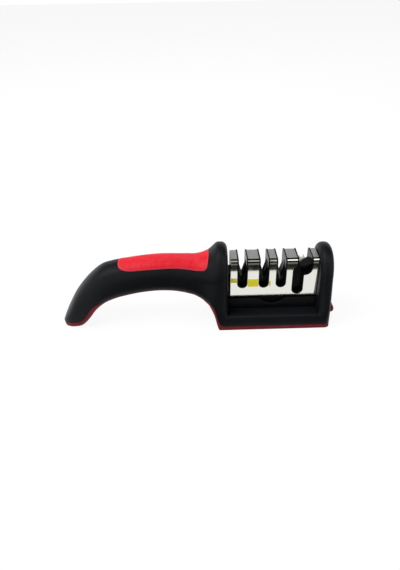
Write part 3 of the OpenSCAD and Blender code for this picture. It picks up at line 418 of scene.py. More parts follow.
# first place, last place and number of each run of rows along the handle
HANDLE_ROWS = ((0, 3, 13), (3.4, 50, 94), (50.5, 134, 210), (134.4, 141.6, 20))
FLANK_ROWS = (230.2, 230.8)
EDGE_ROWS = 10
END_ROWS = 14
SIDE_COLUMNS = 23
CROWN_COLUMNS = 39
# shares of the end face's half width just inside and just outside the button's hole
HOLE_SHARES = (0.6593, 0.6621)
handle_rows = np.concatenate([np.linspace(*run) for run in HANDLE_ROWS])
edge_steps = POST_EDGE * (1 - np.cos(np.radians(np.linspace(90, 0, EDGE_ROWS))))
deck_rows = np.concatenate([np.linspace(LEFT_FACE + DRAFT, WELL_X[0] - HAIR, 12),
                            [WELL_X[0] + HAIR, WELL_X[1] - HAIR, WELL_X[1] + HAIR],
                            [RIGHT_FACE - DRAFT]])
end_rows = BODY_LENGTH - END_ROUND * (1 - np.sin(np.radians(np.linspace(0, 90, END_ROWS))))
body_rows = np.concatenate([handle_rows, LEFT_FACE - edge_steps, deck_rows,
                            RIGHT_FACE + edge_steps[::-1], FLANK_ROWS, end_rows])
LOW_OFFSETS = np.array([0, 0.12, GROOVE, HOLE_LOW - SOLE_THICK - HAIR, HOLE_LOW - SOLE_THICK + HAIR,
                        3, 4.4, HOLE_HIGH - SOLE_THICK - HAIR, HOLE_HIGH - SOLE_THICK + HAIR, 7,
                        DECK_TOP - DECK_ROUND - SOLE_THICK])
LOW_INSETS = np.zeros(len(LOW_OFFSETS))
LOW_INSETS[:3] = GROOVE, 0.12, 0
low_share = LOW_OFFSETS / (SHOULDER - SOLE_THICK)
side_share = np.concatenate([low_share, np.linspace(low_share[-1], 1, SIDE_COLUMNS + 1)[1:]])
side_inset = np.concatenate([LOW_INSETS, np.zeros(SIDE_COLUMNS)])
crown_angle = np.linspace(0, math.pi / 2, CROWN_COLUMNS + 1)[1:]
right_columns = np.concatenate([HOLE_SHARES, np.linspace(0.68, 1, 5)])
BOTTOM_COLUMNS = np.concatenate([-right_columns[::-1], np.linspace(-0.6, 0.6, 9), right_columns])

# height of side below which its groove shrinks, and how far above the ledge the posts' rounded
# edges reach their full size
THIN_SIDE = 3.0
FOOT_RISE = 2.0


def body_half(rows):
    """Half sections from the parting line to the crown, as arrays of half width and height: the
    side's superellipse, then the crown's by its angle, both drawn in where an edge is rounded."""
    s = section(rows)
    x = rows[:, None]
    span = s["belt"] - s["parting"]
    # on a thin section the groove keeps its size, and the rest of the side shares the height
    scale = np.minimum(1, span / (SHOULDER - SOLE_THICK))
    z = s["parting"] + side_share * span
    z[:, 1:3] = s["parting"] + LOW_OFFSETS[1:3] * np.minimum(1, span / THIN_SIDE)
    post = fillet(np.where(x <= LEFT_FACE, LEFT_FACE - x, POST_EDGE), POST_EDGE)
    post = np.maximum(post, fillet(np.where(x >= RIGHT_FACE, x - RIGHT_FACE, POST_EDGE), POST_EDGE))
    end = np.where(x > RIGHT_FACE, end_inset(x), 0)
    foot = smoothstep(z, DECK_TOP - DECK_ROUND, DECK_TOP + FOOT_RISE)
    y = side_half(s, z) - np.maximum(post * foot, end) - side_inset * np.minimum(1, scale * 3)
    inset = np.maximum(post, end)
    power = 2 / s["up_power"]
    crown_y = (s["half"] - inset) * np.cos(crown_angle) ** power
    crown_z = s["belt"] + (s["crown"] - inset - s["belt"]) * np.sin(crown_angle) ** power
    crown_y[:, -1] = 0
    return np.hstack([y, crown_y]), np.hstack([z, crown_z])


def deck_half(count):
    """The ledge's half section after its side, as so many points: a quarter-round edge, then flat to
    the middle."""
    a = np.linspace(0, math.pi / 2, 8)[1:]
    inner = np.linspace(WELL_HALF - 0.5, 0, 5)
    outer = np.linspace(BASE_HALF - DECK_ROUND, WELL_HALF + HAIR, count - len(a) - len(inner))[1:]
    flat = np.concatenate([outer, [WELL_HALF - HAIR], inner])
    y = np.concatenate([BASE_HALF - DECK_ROUND + DECK_ROUND * np.cos(a), flat])
    z = np.concatenate([DECK_TOP - DECK_ROUND + DECK_ROUND * np.sin(a), np.full(len(flat), DECK_TOP)])
    return y, z


def whole_section(rows, y, z):
    """Rows of points from the +y side over the crown to the -y side."""
    x = np.broadcast_to(rows[:, None], y.shape)
    near = np.stack([x, y, z], -1)
    far = np.stack([x, -y, z], -1)[:, -2::-1]
    return np.concatenate([near, far], 1)


def ruled_cap(grid_row):
    """Fills a section's outline with level rows from its +y to its -y side."""
    half = (len(grid_row) + 1) // 2
    side = grid_row[:half]
    cap = np.repeat(side[:, None, :], len(BOTTOM_COLUMNS), 1)
    cap[:, :, 1] = side[:, None, 1] * -BOTTOM_COLUMNS
    return cap


def under_cap(grid):
    """Closes an open loft along its two long edges with the same columns as the ends."""
    cap = np.repeat(grid[:, :1, :], len(BOTTOM_COLUMNS), 1)
    cap[:, :, 1] = grid[:, :1, 1] * -BOTTOM_COLUMNS
    return cap


SHARP_ANGLE = math.radians(32)
WELD = 0.004


def make_piece(name, grids, sharp=SHARP_ANGLE, uv=None):
    """A mesh piece from grids of points in millimetres: quads between neighbours, joined where they
    meet, with faces turned outwards and edges sharper than an angle left crisp."""
    points, faces, start = [], [], 0
    for grid in grids:
        r, c = grid.shape[:2]
        i = np.arange(r * c).reshape(r, c) + start
        quads = np.stack([i[:-1, :-1], i[1:, :-1], i[1:, 1:], i[:-1, 1:]], -1).reshape(-1, 4)
        points.append(grid.reshape(-1, 3))
        faces.append(quads)
        start += r * c
    mesh = bpy.data.meshes.new(name)
    mesh.from_pydata(metres(np.concatenate(points)).tolist(), [], np.concatenate(faces).tolist())
    if uv is not None:
        layer = mesh.uv_layers.new(name="sheet")
        index = np.empty(len(mesh.loops), int)
        mesh.loops.foreach_get("vertex_index", index)
        layer.data.foreach_set("uv", np.concatenate([u.reshape(-1, 2) for u in uv])[index].ravel())
    shape = bmesh.new()
    shape.from_mesh(mesh)
    bmesh.ops.remove_doubles(shape, verts=shape.verts, dist=WELD * MM)
    bmesh.ops.dissolve_degenerate(shape, edges=shape.edges, dist=WELD * MM / 2)
    bmesh.ops.recalc_face_normals(shape, faces=shape.faces)
    shape.to_mesh(mesh)
    shape.free()
    mesh.polygons.foreach_set("use_smooth", np.ones(len(mesh.polygons), bool))
    mesh.set_sharp_from_angle(angle=sharp)
    made = bpy.data.objects.new(name, mesh)
    bpy.context.scene.collection.objects.link(made)
    return made


def fit(piece, material, body, slot, *nodes):
    """Gives a piece its material, the body it rides on and the nodes it stands for; its slot is not used."""
    piece.data.materials.clear()
    piece.data.materials.append(material)
    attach(piece, body)
    if nodes:
        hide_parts(*nodes)


# Black ABS, moulded in a finely spark-eroded tool: near black, with a soft wide sheen from the
# grain and slow changes of tone and gloss. The real grain is too fine to show, so it is coarser.
ABS_BLACK = "0A0C0F"
ABS_RUBBED = "101317"
CORE_BLACK = "050506"
CORE_RUBBED = "09090A"
GRAIN_MM = 0.35
FLOW_MM = 28.0


def black_abs(name, dark, light, roughness, grain, gloss):
    """Moulded black plastic: fine grain as bump, and slow changes of colour and roughness."""
    made, tree, out = blank_material(name)
    where = add(tree, "ShaderNodeTexCoord").outputs["Object"]
    slow = add(tree, "ShaderNodeTexNoise", {"Vector": where}, {"Scale": 1 / (FLOW_MM * MM), "Detail": 3.0})
    fine = add(tree, "ShaderNodeTexNoise", {"Vector": where}, {"Scale": 1 / (GRAIN_MM * MM), "Detail": 2.0})
    colour = add(tree, "ShaderNodeMix", {0: slow.outputs[0]}, {6: linear(dark), 7: linear(light)},
                 data_type="RGBA")
    rough = add(tree, "ShaderNodeMapRange", {"Value": slow.outputs[0]},
                {"To Min": roughness - 0.05, "To Max": roughness + 0.06})
    bump = add(tree, "ShaderNodeBump", {"Height": fine.outputs[0]},
               {"Strength": grain, "Distance": GRAIN_MM * MM * 0.3})
    shader = add(tree, "ShaderNodeBsdfPrincipled",
                 {"Base Color": colour.outputs[2], "Roughness": rough.outputs[0], "Normal": bump.outputs[0]},
                 {"IOR": 1.45, "Specular IOR Level": gloss})
    tree.links.new(shader.outputs[0], out.inputs[0])
    return made


abs_material = black_abs("spark_grained_black_abs", ABS_BLACK, ABS_RUBBED, 0.4, 0.25, 0.16)

# the grip's outline on the crown: place along the handle, then the angle up from the widest place
PAD_SHARES = np.array([
    [0.3785, 86], [0.3800, 74], [0.3860, 61], [0.3990, 51], [0.4200, 43.5], [0.4500, 38],
    [0.4900, 35], [0.5500, 33.5], [0.6300, 33], [0.7000, 34.5], [0.7600, 35.5], [0.8200, 35],
    [0.8500, 34], [0.8750, 33.5], [0.8950, 33], [0.9130, 33.5], [0.9270, 38.5], [0.9350, 51],
    [0.9400, 68], [0.9440, 86],
])
PAD_POINTS = 480
POCKET_DEPTH = 0.9
POCKET_EDGE = 0.45
# rows this far past the ends of the outline take part in the pocket
POCKET_REACH = 2.0
PLACES_AT_ONCE = 4000
CURVE_STEPS = 24


def through(points, count):
    """A closed curve through points: cubic pieces whose slopes are half the neighbours' difference,
    sampled at even steps of length."""
    p = np.asarray(points, float)
    a, b, c, d = np.roll(p, 1, 0), p, np.roll(p, -1, 0), np.roll(p, -2, 0)
    u = np.linspace(0, 1, CURVE_STEPS, endpoint=False)[None, :, None]
    a, b, c, d = (q[:, None, :] for q in (a, b, c, d))
    fine = (b + 0.5 * u * (c - a) + u**2 * (a - 2.5 * b + 2 * c - 0.5 * d)
            + 0.5 * u**3 * (-a + 3 * b - 3 * c + d)).reshape(-1, p.shape[1])
    fine = np.vstack([fine, fine[:1]])
    run = np.concatenate([[0], np.cumsum(np.linalg.norm(np.diff(fine, axis=0), axis=1))])
    even = np.linspace(0, run[-1], count, endpoint=False)
    return np.stack([np.interp(even, run, fine[:, k]) for k in range(p.shape[1])], 1)


# the angle is taken as a length round the crown, so that the outline can be measured and curved
CROWN_MM_PER_DEGREE = 0.27
pad_side = np.stack([PAD_SHARES[:, 0] * HANDLE_LENGTH, (PAD_SHARES[:, 1] - 90) * CROWN_MM_PER_DEGREE], 1)
pad_outline = through(np.vstack([pad_side, (pad_side * (1, -1))[::-1]]), PAD_POINTS)


def crown_point(x, round_mm, depth):
    """Points on the crown at places x and distances round_mm from its top line, a depth below it:
    the distance gives the angle, and the angle a place on the section's superellipse."""
    flat = x.ravel()
    s = section(flat)
    angle = np.radians(90 - np.abs(round_mm.ravel()) / CROWN_MM_PER_DEGREE)[:, None]
    power = 2 / s["up_power"]
    deep = depth.ravel()[:, None]
    y = (s["half"] - deep) * np.maximum(0, np.cos(angle)) ** power
    z = s["belt"] + (s["crown"] - deep - s["belt"]) * np.sin(angle) ** power
    side = np.sign(round_mm.ravel())[:, None]
    return np.hstack([flat[:, None], -y * side, z]).reshape(x.shape + (3,))


def inside_depth(x, round_mm):
    """Distance in from the grip's outline, negative outside it: the least distance to any of its
    points, taken for a few thousand places at a time."""
    q = np.stack([x.ravel(), round_mm.ravel()], 1)
    gap = np.empty(len(q))
    for part in np.array_split(np.arange(len(q)), max(1, len(q) // PLACES_AT_ONCE)):
        gap[part] = np.sqrt(((q[part, None, :] - pad_outline[None, :, :]) ** 2).sum(-1)).min(1)
    half = np.interp(q[:, 0], pad_side[:, 0], -pad_side[:, 1])
    within = (np.abs(q[:, 1]) < half) & (q[:, 0] > pad_side[0, 0]) & (q[:, 0] < pad_side[-1, 0])
    return np.where(within, gap, -gap).reshape(x.shape)


half_y, half_z = body_half(body_rows)
on_deck = (body_rows > LEFT_FACE + DRAFT / 2) & (body_rows < RIGHT_FACE - DRAFT / 2)
first = len(LOW_OFFSETS)
deck_y, deck_z = deck_half(half_y.shape[1] - first)
half_y[on_deck, first:] = deck_y
half_z[on_deck, first:] = deck_z
half_y[on_deck, 2:first] = BASE_HALF
in_well = on_deck & (body_rows > WELL_X[0]) & (body_rows < WELL_X[1])
half_z[np.ix_(in_well, np.flatnonzero(half_y[np.argmax(in_well)] < WELL_HALF))] = WELL_FLOOR

# the pocket under the grip, pressed into the crown's columns
crown_first = len(side_share)
pad_rows = (body_rows > pad_side[0, 0] - POCKET_REACH) & (body_rows < pad_side[-1, 0] + POCKET_REACH)
round_mm = np.broadcast_to((np.degrees(crown_angle) - 90) * CROWN_MM_PER_DEGREE,
                           (pad_rows.sum(), len(crown_angle)))
pad_x = np.broadcast_to(body_rows[pad_rows][:, None], round_mm.shape)
sunk = POCKET_DEPTH * smoothstep(inside_depth(pad_x, round_mm), -POCKET_EDGE, POCKET_EDGE)
pressed = crown_point(pad_x, round_mm, sunk)
half_y[np.ix_(pad_rows, np.arange(crown_first, half_y.shape[1]))] = np.abs(pressed[:, :, 1])
half_z[np.ix_(pad_rows, np.arange(crown_first, half_z.shape[1]))] = pressed[:, :, 2]

body_grid = whole_section(body_rows, half_y, half_z)
end_cap = ruled_cap(body_grid[-1])
in_hole = ((np.abs(end_cap[:, :, 1]) < HOLE_HALF) & (end_cap[:, :, 2] > HOLE_LOW)
           & (end_cap[:, :, 2] < HOLE_HIGH))
end_cap[in_hole, 0] -= HOLE_DEPTH
body = make_piece("body", [body_grid, ruled_cap(body_grid[0]), end_cap, under_cap(body_grid)])
fit(body, abs_material, "body", "black_shell", "body_shell")


# Cradle: two upright walls moulded with the ledge, between the posts, that hold the cartridge.
# The front one dips in the middle for a finger. The mould is polished there, so they are glossier, and their
# black is darker than the body's as painted shade of the bay under the cartridge.
# painted shade: the walls' black and its lighter mottle are darker than the body's, for the shade between the
# posts under the cartridge
BAY_SHADED_BLACK = "07080A"
BAY_SHADED_RUBBED = "0B0C0E"
CRADLE_OUTER = 13.4
CRADLE_INNER = 11.1
CRADLE_TOP = 25.2
CRADLE_ROUND = 0.7
CRADLE_FOOT = 0.9
SCOOP_RADIUS = 14.6
SCOOP_DEPTH = 5.0
SCOOP_REACH = 11.8
# how far the walls' ends stand in the posts, and their feet in the ledge
CRADLE_BURIED = 1.0
FOOT_BURIED = 0.5


def cradle_wall(side, scoop_depth):
    """An upright wall along x: one side up, a rounded top, the other side down, with a fillet at its
    foot. The top follows a circle where the scoop dips."""
    middle = (LEFT_FACE + RIGHT_FACE) / 2
    x = np.concatenate([np.linspace(LEFT_FACE - CRADLE_BURIED, middle - SCOOP_REACH - 0.2, 20),
                        np.linspace(middle - SCOOP_REACH, middle + SCOOP_REACH, 60),
                        np.linspace(middle + SCOOP_REACH + 0.2, RIGHT_FACE + CRADLE_BURIED, 20)])
    centre = CRADLE_TOP + SCOOP_RADIUS - scoop_depth
    reach = np.clip(SCOOP_RADIUS**2 - (x - middle) ** 2, 0, None)
    top = np.where(reach > 0, np.minimum(CRADLE_TOP, centre - np.sqrt(reach)), CRADLE_TOP)
    a = np.linspace(0, math.pi / 2, 7)
    foot_y = CRADLE_OUTER + CRADLE_FOOT * (1 - np.sin(a))
    foot_z = DECK_TOP + CRADLE_FOOT * (1 - np.cos(a))
    outer_y = CRADLE_OUTER - CRADLE_ROUND * (1 - np.cos(a))
    inner_y = CRADLE_INNER + CRADLE_ROUND * (1 - np.sin(a))
    y = np.concatenate([[CRADLE_OUTER + CRADLE_FOOT], foot_y, outer_y, inner_y, [CRADLE_INNER]])
    rise = CRADLE_ROUND * np.concatenate([np.sin(a) - 1, np.cos(a) - 1])
    low = np.concatenate([[DECK_TOP - FOOT_BURIED], foot_z])
    z = np.hstack([np.broadcast_to(low, (len(x), len(low))), top[:, None] + rise,
                   np.full((len(x), 1), DECK_TOP - FOOT_BURIED)])
    grid = np.stack([np.broadcast_to(x[:, None], z.shape), np.broadcast_to(y * side, z.shape), z], -1)
    return [grid, grid[:, [-1, 0]]]


shaded_bay_material = black_abs("polished_shaded_black_abs", BAY_SHADED_BLACK, BAY_SHADED_RUBBED, 0.3, 0.06, 0.1)
for side, depth, name in ((-1, SCOOP_DEPTH, "cradle_front"), (1, -1.0, "cradle_rear")):
    wall = make_piece(name, cradle_wall(side, depth))
    fit(wall, shaded_bay_material, "body", "black_shell", "body_shell")


# Grip pad: soft red thermoplastic rubber pressed into its pocket, a little proud of the handle,
# with a rounded edge that rolls down into a narrow dark groove. Moulding leaves it mottled, with a
# dusty sheen. A rim a little paler than its middle is painted highlight along that rounded edge.
PAD_PROUD = 0.25
PAD_EDGE = 0.7
PAD_GAP = 0.12
RUBBER_RED = "C5081A"
RUBBER_RED_LIGHT = "D11C2E"
MOTTLE_MM = 3.5
# drawn coarser than the real stipple, which is too fine to show
STIPPLE_MM = 0.3
STIPPLE_DEPTH = 0.08
# painted highlight: a paler red along the grip's rounded edge, for the light that edge catches
PAINTED_RIM_HIGHLIGHT = "B93444"
RIM_START = 0.9
RIM_END = 1.5
# how far the middle line of the rings stops short of the outline's two ends
MIDDLE_SHORT = (16.0, 12.0)
EDGE_RINGS = 8
INNER_RINGS = 26
# rings closer together near the edge
RING_POWER = 1.15


def grip_surface():
    """Rings from the outline in to the middle line: the outermost roll down over a quarter round. Also
    gives each point's distance in from the outline."""
    middle = pad_outline.copy()
    middle[:, 0] = np.clip(middle[:, 0], pad_side[0, 0] + MIDDLE_SHORT[0], pad_side[-1, 0] - MIDDLE_SHORT[1])
    middle[:, 1] = 0
    reach = np.linalg.norm(middle - pad_outline, axis=1)[:, None]
    towards = (middle - pad_outline) / reach
    a = np.linspace(0, math.pi / 2, EDGE_RINGS)
    roll = PAD_EDGE * (1 - np.cos(a))
    drop = PAD_EDGE * (1 - np.sin(a))
    steps = np.linspace(0, 1, INNER_RINGS + 1)[1:] ** RING_POWER
    rings = [pad_outline + towards * (PAD_GAP + d) for d in np.concatenate([[0], roll])]
    start = PAD_GAP + PAD_EDGE
    rings += [pad_outline + towards * (start + (reach - start) * f) for f in steps]
    depth = np.concatenate([[POCKET_DEPTH - PAD_PROUD], drop, np.zeros(INNER_RINGS)]) - PAD_PROUD
    q = np.array(rings)
    q = np.concatenate([q, q[:, :1]], 1)
    inwards = np.linalg.norm(q - q[0], axis=2)
    return crown_point(q[:, :, 0], q[:, :, 1], np.broadcast_to(depth[:, None], q.shape[:2])), inwards


def red_rubber(name, dark, light, roughness, mottle_mm, bump_strength, rim_highlight=None):
    """Moulded rubber: a mottle of two reds that also varies the gloss, and a soft stippled bump. A paler
    rim colour, a painted highlight, shows along the outline of a piece whose own map gives the distance in
    from it."""
    made, tree, out = blank_material(name)
    where = add(tree, "ShaderNodeTexCoord").outputs["Object"]
    cloud = add(tree, "ShaderNodeTexNoise", {"Vector": where},
                {"Scale": 1 / (mottle_mm * MM), "Detail": 4.0, "Roughness": 0.62})
    stipple = add(tree, "ShaderNodeTexNoise", {"Vector": where},
                  {"Scale": 1 / (STIPPLE_MM * MM), "Detail": 2.0})
    spread = add(tree, "ShaderNodeMapRange", {"Value": cloud.outputs[0]},
                 {"From Min": 0.36, "From Max": 0.66})
    colour = add(tree, "ShaderNodeMix", {0: spread.outputs[0]}, {6: linear(dark), 7: linear(light)},
                 data_type="RGBA")
    rough = add(tree, "ShaderNodeMapRange", {"Value": cloud.outputs[0]},
                {"To Min": roughness - 0.08, "To Max": roughness + 0.08})
    bump = add(tree, "ShaderNodeBump", {"Height": stipple.outputs[0]},
               {"Strength": bump_strength, "Distance": STIPPLE_DEPTH * MM})
    shader = add(tree, "ShaderNodeBsdfPrincipled",
                 {"Base Color": colour.outputs[2], "Roughness": rough.outputs[0], "Normal": bump.outputs[0]},
                 {"IOR": 1.47, "Specular IOR Level": 0.15, "Sheen Weight": 0.05, "Sheen Roughness": 0.5})
    if rim_highlight:
        flat_map = add(tree, "ShaderNodeUVMap", uv_map="sheet").outputs[0]
        inwards = add(tree, "ShaderNodeSeparateXYZ", {0: flat_map})
        edge = add(tree, "ShaderNodeMapRange", {"Value": inwards.outputs[0]},
                   {"From Min": RIM_START * MM, "From Max": RIM_END * MM, "To Min": 1.0, "To Max": 0.0})
        pale = add(tree, "ShaderNodeMix", {0: edge.outputs[0], 6: colour.outputs[2]}, {7: linear(rim_highlight)},
                   data_type="RGBA")
        tree.links.new(pale.outputs[2], shader.inputs["Base Color"])
    tree.links.new(shader.outputs[0], out.inputs[0])
    return made


grip_points, grip_inwards = grip_surface()
grip = make_piece("grip", [grip_points], uv=[np.stack([grip_inwards, 0 * grip_inwards], -1) * MM])
fit(grip, red_rubber("moulded_red_rubber", RUBBER_RED, RUBBER_RED_LIGHT, 0.5, MOTTLE_MM, 0.3, PAINTED_RIM_HIGHLIGHT),
    "body", "red_grip", "grip_pad")


# Sole: a darker, harder rubber under-cover that keeps the sharpener from sliding. It follows the
# parting line from the tail along the arch and forms the whole underside of the base.
SOLE_RED = "62101A"
SOLE_RED_LIGHT = "761924"
SOLE_MOTTLE_MM = 6.0
SOLE_COLUMNS = 26
# the groove's lip where the sole is thin, and how far it draws in one row lower, as shares
THIN_LIP = 0.3
LIP_STEP = 0.35
# the end's rounding fades out over the underside by this power
UNDERSIDE_POWER = 0.2
# rows end here on the handle's side and go on straight to the right post through two more
ARCH_END = 144
STRAIGHT_ROWS = (170, 200)


def sole_half(rows):
    """Half sections from the parting line down to the middle of the underside: a groove, then the
    lower part of the section's superellipse by its angle."""
    s = section(rows)
    x = rows[:, None]
    height = s["belt"] - s["under"]
    thick = s["parting"] - s["under"]
    lip = np.minimum(GROOVE, thick * THIN_LIP)
    end = np.where(x > RIGHT_FACE, end_inset(x), 0)
    start = (s["belt"] - s["parting"] + lip) / height
    first_angle = np.arcsin(np.clip(start, 0, 1) ** (s["low_power"] / 2))
    angle = first_angle + (math.pi / 2 - first_angle) * np.linspace(0, 1, SOLE_COLUMNS)
    share = np.sin(angle) ** (2 / s["low_power"])
    z = s["belt"] - height * share
    wide = s["half"] + s["spread"] * np.minimum(1, share / (1 - SPREAD_SHARE))
    fade = np.linspace(1, 0, SOLE_COLUMNS) ** UNDERSIDE_POWER
    y = wide * np.maximum(0, np.cos(angle)) ** (2 / s["low_power"]) - end * fade
    y[:, -1] = 0
    top_z = np.hstack([s["parting"], s["parting"] - lip * LIP_STEP])
    top_y = side_half(s, top_z) - end - np.hstack([lip, lip * LIP_STEP])
    return np.hstack([top_y, np.maximum(y, 0)]), np.hstack([top_z, z])


sole_rows = np.concatenate([body_rows[body_rows < ARCH_END], STRAIGHT_ROWS,
                            body_rows[body_rows > RIGHT_FACE]])
sole_grid = whole_section(sole_rows, *sole_half(sole_rows))
sole = make_piece("rubber_sole", [sole_grid, ruled_cap(sole_grid[0]), ruled_cap(sole_grid[-1]),
                                  under_cap(sole_grid)])

# each screw head sits at the end of a round well with a broken edge: places x and y of the wells, and
# their profile of radius and height
SCREW_PLACES = ((13.205, 0), (153.2, -18.1), (153.2, 18.1), (205.8, -18.1), (205.8, 18.1))
WELL_PROFILE = np.array([[0, -1.0], [3.0, -1.0], [3.0, 0.0], [2.7, 0.3], [2.7, 1.5], [0, 1.5]])


def screw_well(x, y):
    """A round well to cut out: its profile of radius and height, turned about an upright line."""
    a = np.linspace(0, 2 * math.pi, 49)
    radius, height = WELL_PROFILE[:, :1], WELL_PROFILE[:, 1:]
    return np.stack([x + radius * np.cos(a), y + radius * np.sin(a), height + 0 * a], -1)


wells = make_piece("screw_wells", [screw_well(*at) for at in SCREW_PLACES])
cut = sole.modifiers.new("screw_wells", "BOOLEAN")
cut.operation = "DIFFERENCE"
cut.solver = "MANIFOLD"
cut.object = wells
cut_sole = bpy.data.meshes.new_from_object(sole.evaluated_get(bpy.context.evaluated_depsgraph_get()))
sole.modifiers.clear()
sole.data = cut_sole
cut_sole.set_sharp_from_angle(angle=SHARP_ANGLE)
bpy.data.objects.remove(wells)
fit(sole, red_rubber("dark_red_rubber", SOLE_RED, SOLE_RED_LIGHT, 0.6, SOLE_MOTTLE_MM, 0.5),
    "body", "red_sole", "sole")


# Release button: one moulding of glossy red plastic with rounded edges, which stands out of the
# end face and is pressed to free the cartridge. Its gloss is slightly hazy from handling.
BUTTON_HALF = 8.5
BUTTON_LOW = 5.25
BUTTON_HIGH = 8.85
BUTTON_END = 243.9
BUTTON_START = 231.2
BUTTON_EDGE = 0.9
# how far the nose's rounding runs back across the width and over the height
BUTTON_NOSE = (4.08, 1.51)
BUTTON_RED = "760C1C"
HAZE_MM = 4.0


def rounded_bar(x0, x1, half_y, z0, z1, edge, nose_y, nose_z):
    """A bar along x: rounded-rectangle sections, drawn in over its nose by two quarter rounds."""
    nose = max(nose_y, nose_z)
    x = np.concatenate([[x0, x1 - nose - 0.01], x1 - nose * (1 - np.sin(np.linspace(0, math.pi / 2, 16)))])
    a = np.linspace(0, 2 * math.pi, 97)
    mid, half_z = (z0 + z1) / 2, (z1 - z0) / 2
    draw_y = fillet(x1 - x, nose_y)[:, None]
    draw_z = fillet(x1 - x, nose_z)[:, None]
    corner_y, corner_z = half_y - edge, half_z - edge
    round_y = np.sign(np.round(np.cos(a), 9)) * corner_y + edge * np.cos(a)
    round_z = np.sign(np.round(np.sin(a), 9)) * corner_z + edge * np.sin(a)
    y = round_y * (half_y - draw_y) / half_y
    z = mid + round_z * (half_z - draw_z) / half_z
    grid = np.stack([np.broadcast_to(x[:, None], y.shape), y, z], -1)
    middle = grid.mean(1, keepdims=True)
    ends = [np.concatenate([middle[i] + (grid[i] - middle[i]) * f for f in (0, 0.5, 1)]).reshape(3, -1, 3)
            for i in (0, -1)]
    return [grid] + ends


button_material, tree, out = blank_material("glossy_red_plastic")
where = add(tree, "ShaderNodeTexCoord").outputs["Object"]
haze = add(tree, "ShaderNodeTexNoise", {"Vector": where}, {"Scale": 1 / (HAZE_MM * MM), "Detail": 2.0})
rough = add(tree, "ShaderNodeMapRange", {"Value": haze.outputs[0]}, {"To Min": 0.24, "To Max": 0.36})
shader = add(tree, "ShaderNodeBsdfPrincipled", {"Roughness": rough.outputs[0]},
             {"Base Color": linear(BUTTON_RED), "IOR": 1.49, "Specular IOR Level": 0.12})
tree.links.new(shader.outputs[0], out.inputs[0])
button = make_piece("button", rounded_bar(BUTTON_START, BUTTON_END, BUTTON_HALF, BUTTON_LOW, BUTTON_HIGH,
                                          BUTTON_EDGE, *BUTTON_NOSE))
fit(button, button_material, "latch", "button_red", "release_button")


# Steel cover: one sheet of stainless steel, bent over the cartridge and pierced with four slots.
# Its faces are polished and its top is brushed along the bends.
STEEL_LEFT = 149.4
STEEL_RIGHT = 224.3
STEEL_TOP = 62.5
STEEL_LOW = 26.4
STEEL_HALF = 10.8
STEEL_BEND = 3.0
SHEET = 0.8
SLOT_HALF = 4.55
SLOT_LOW = 35.0
KNIFE_SLOTS = (159.55, 178.05, 192.85)
# the scissors slot: its mouth's middle x and z and its radius, then its leg's middle x and radius, the
# leg's foot, and the heights between which its left edge turns into the mouth's
MOUTH = (212.9, 53.6, 6.8)
LEG = (207.5, 5.0)
LEG_LOW = 27.9
LEG_TURN = 50.5
LEG_TURN_END = 55.3


def round_reach(radius, along):
    """Half the chord of a circle at a distance along from its centre."""
    return np.sqrt(np.clip(radius**2 - along**2, 0, None))


def knife_edges(mid, z, grow=0.0):
    """Left and right edge of a knife slot at heights z: straight sides over a half circle, meeting at
    the slot's middle below it."""
    r = SLOT_HALF + grow
    reach = np.where(z < SLOT_LOW + SLOT_HALF, round_reach(r, SLOT_LOW + SLOT_HALF - z), r)
    reach = np.where(z <= SLOT_LOW - grow, 0, reach)
    return mid - reach, mid + reach


def scissor_edges(z, grow=0.0):
    """Left and right edge of the scissors slot at heights z: a leg with round ends, then a wider mouth
    with a round foot, each edge the outermost of the two."""
    r, mouth_r = LEG[1] + grow, MOUTH[2] + grow
    low = LEG_LOW + LEG[1]
    reach = np.where(z < low, round_reach(r, low - z), r)
    reach = np.where(z <= LEG_LOW - grow, 0, reach)
    shoulder = np.where(z > LEG_TURN, round_reach(r, z - LEG_TURN), reach)
    left = np.where(z > LEG_TURN, np.minimum(LEG[0] - shoulder, MOUTH[0] - mouth_r), LEG[0] - reach)
    under_mouth = np.where(z < MOUTH[1], MOUTH[0] + round_reach(mouth_r, MOUTH[1] - z), MOUTH[0] + mouth_r)
    under_mouth = np.where(z < MOUTH[1] - mouth_r, 0, under_mouth)
    return left, np.maximum(LEG[0] + reach, under_mouth)


def fold(x, along, out):
    """A flat sheet folded over the cartridge: along is the length round it from the middle of its
    top, negative to the front, and out is the height off its outer face."""
    flat = STEEL_HALF - STEEL_BEND
    bend = STEEL_BEND * math.pi / 2
    way = np.abs(along)
    angle = np.clip((way - flat) / STEEL_BEND, 0, math.pi / 2)
    y = np.minimum(way, flat) + (STEEL_BEND + out) * np.sin(angle)
    z = STEEL_TOP - STEEL_BEND + (STEEL_BEND + out) * np.cos(angle) - np.maximum(0, way - flat - bend)
    return np.stack([x, np.sign(along) * y, z], -1)


def along_from_height(z):
    """Length down the sheet from the middle of its top to a height on its upright face."""
    return STEEL_HALF - STEEL_BEND + STEEL_BEND * math.pi / 2 + (STEEL_TOP - STEEL_BEND - z)


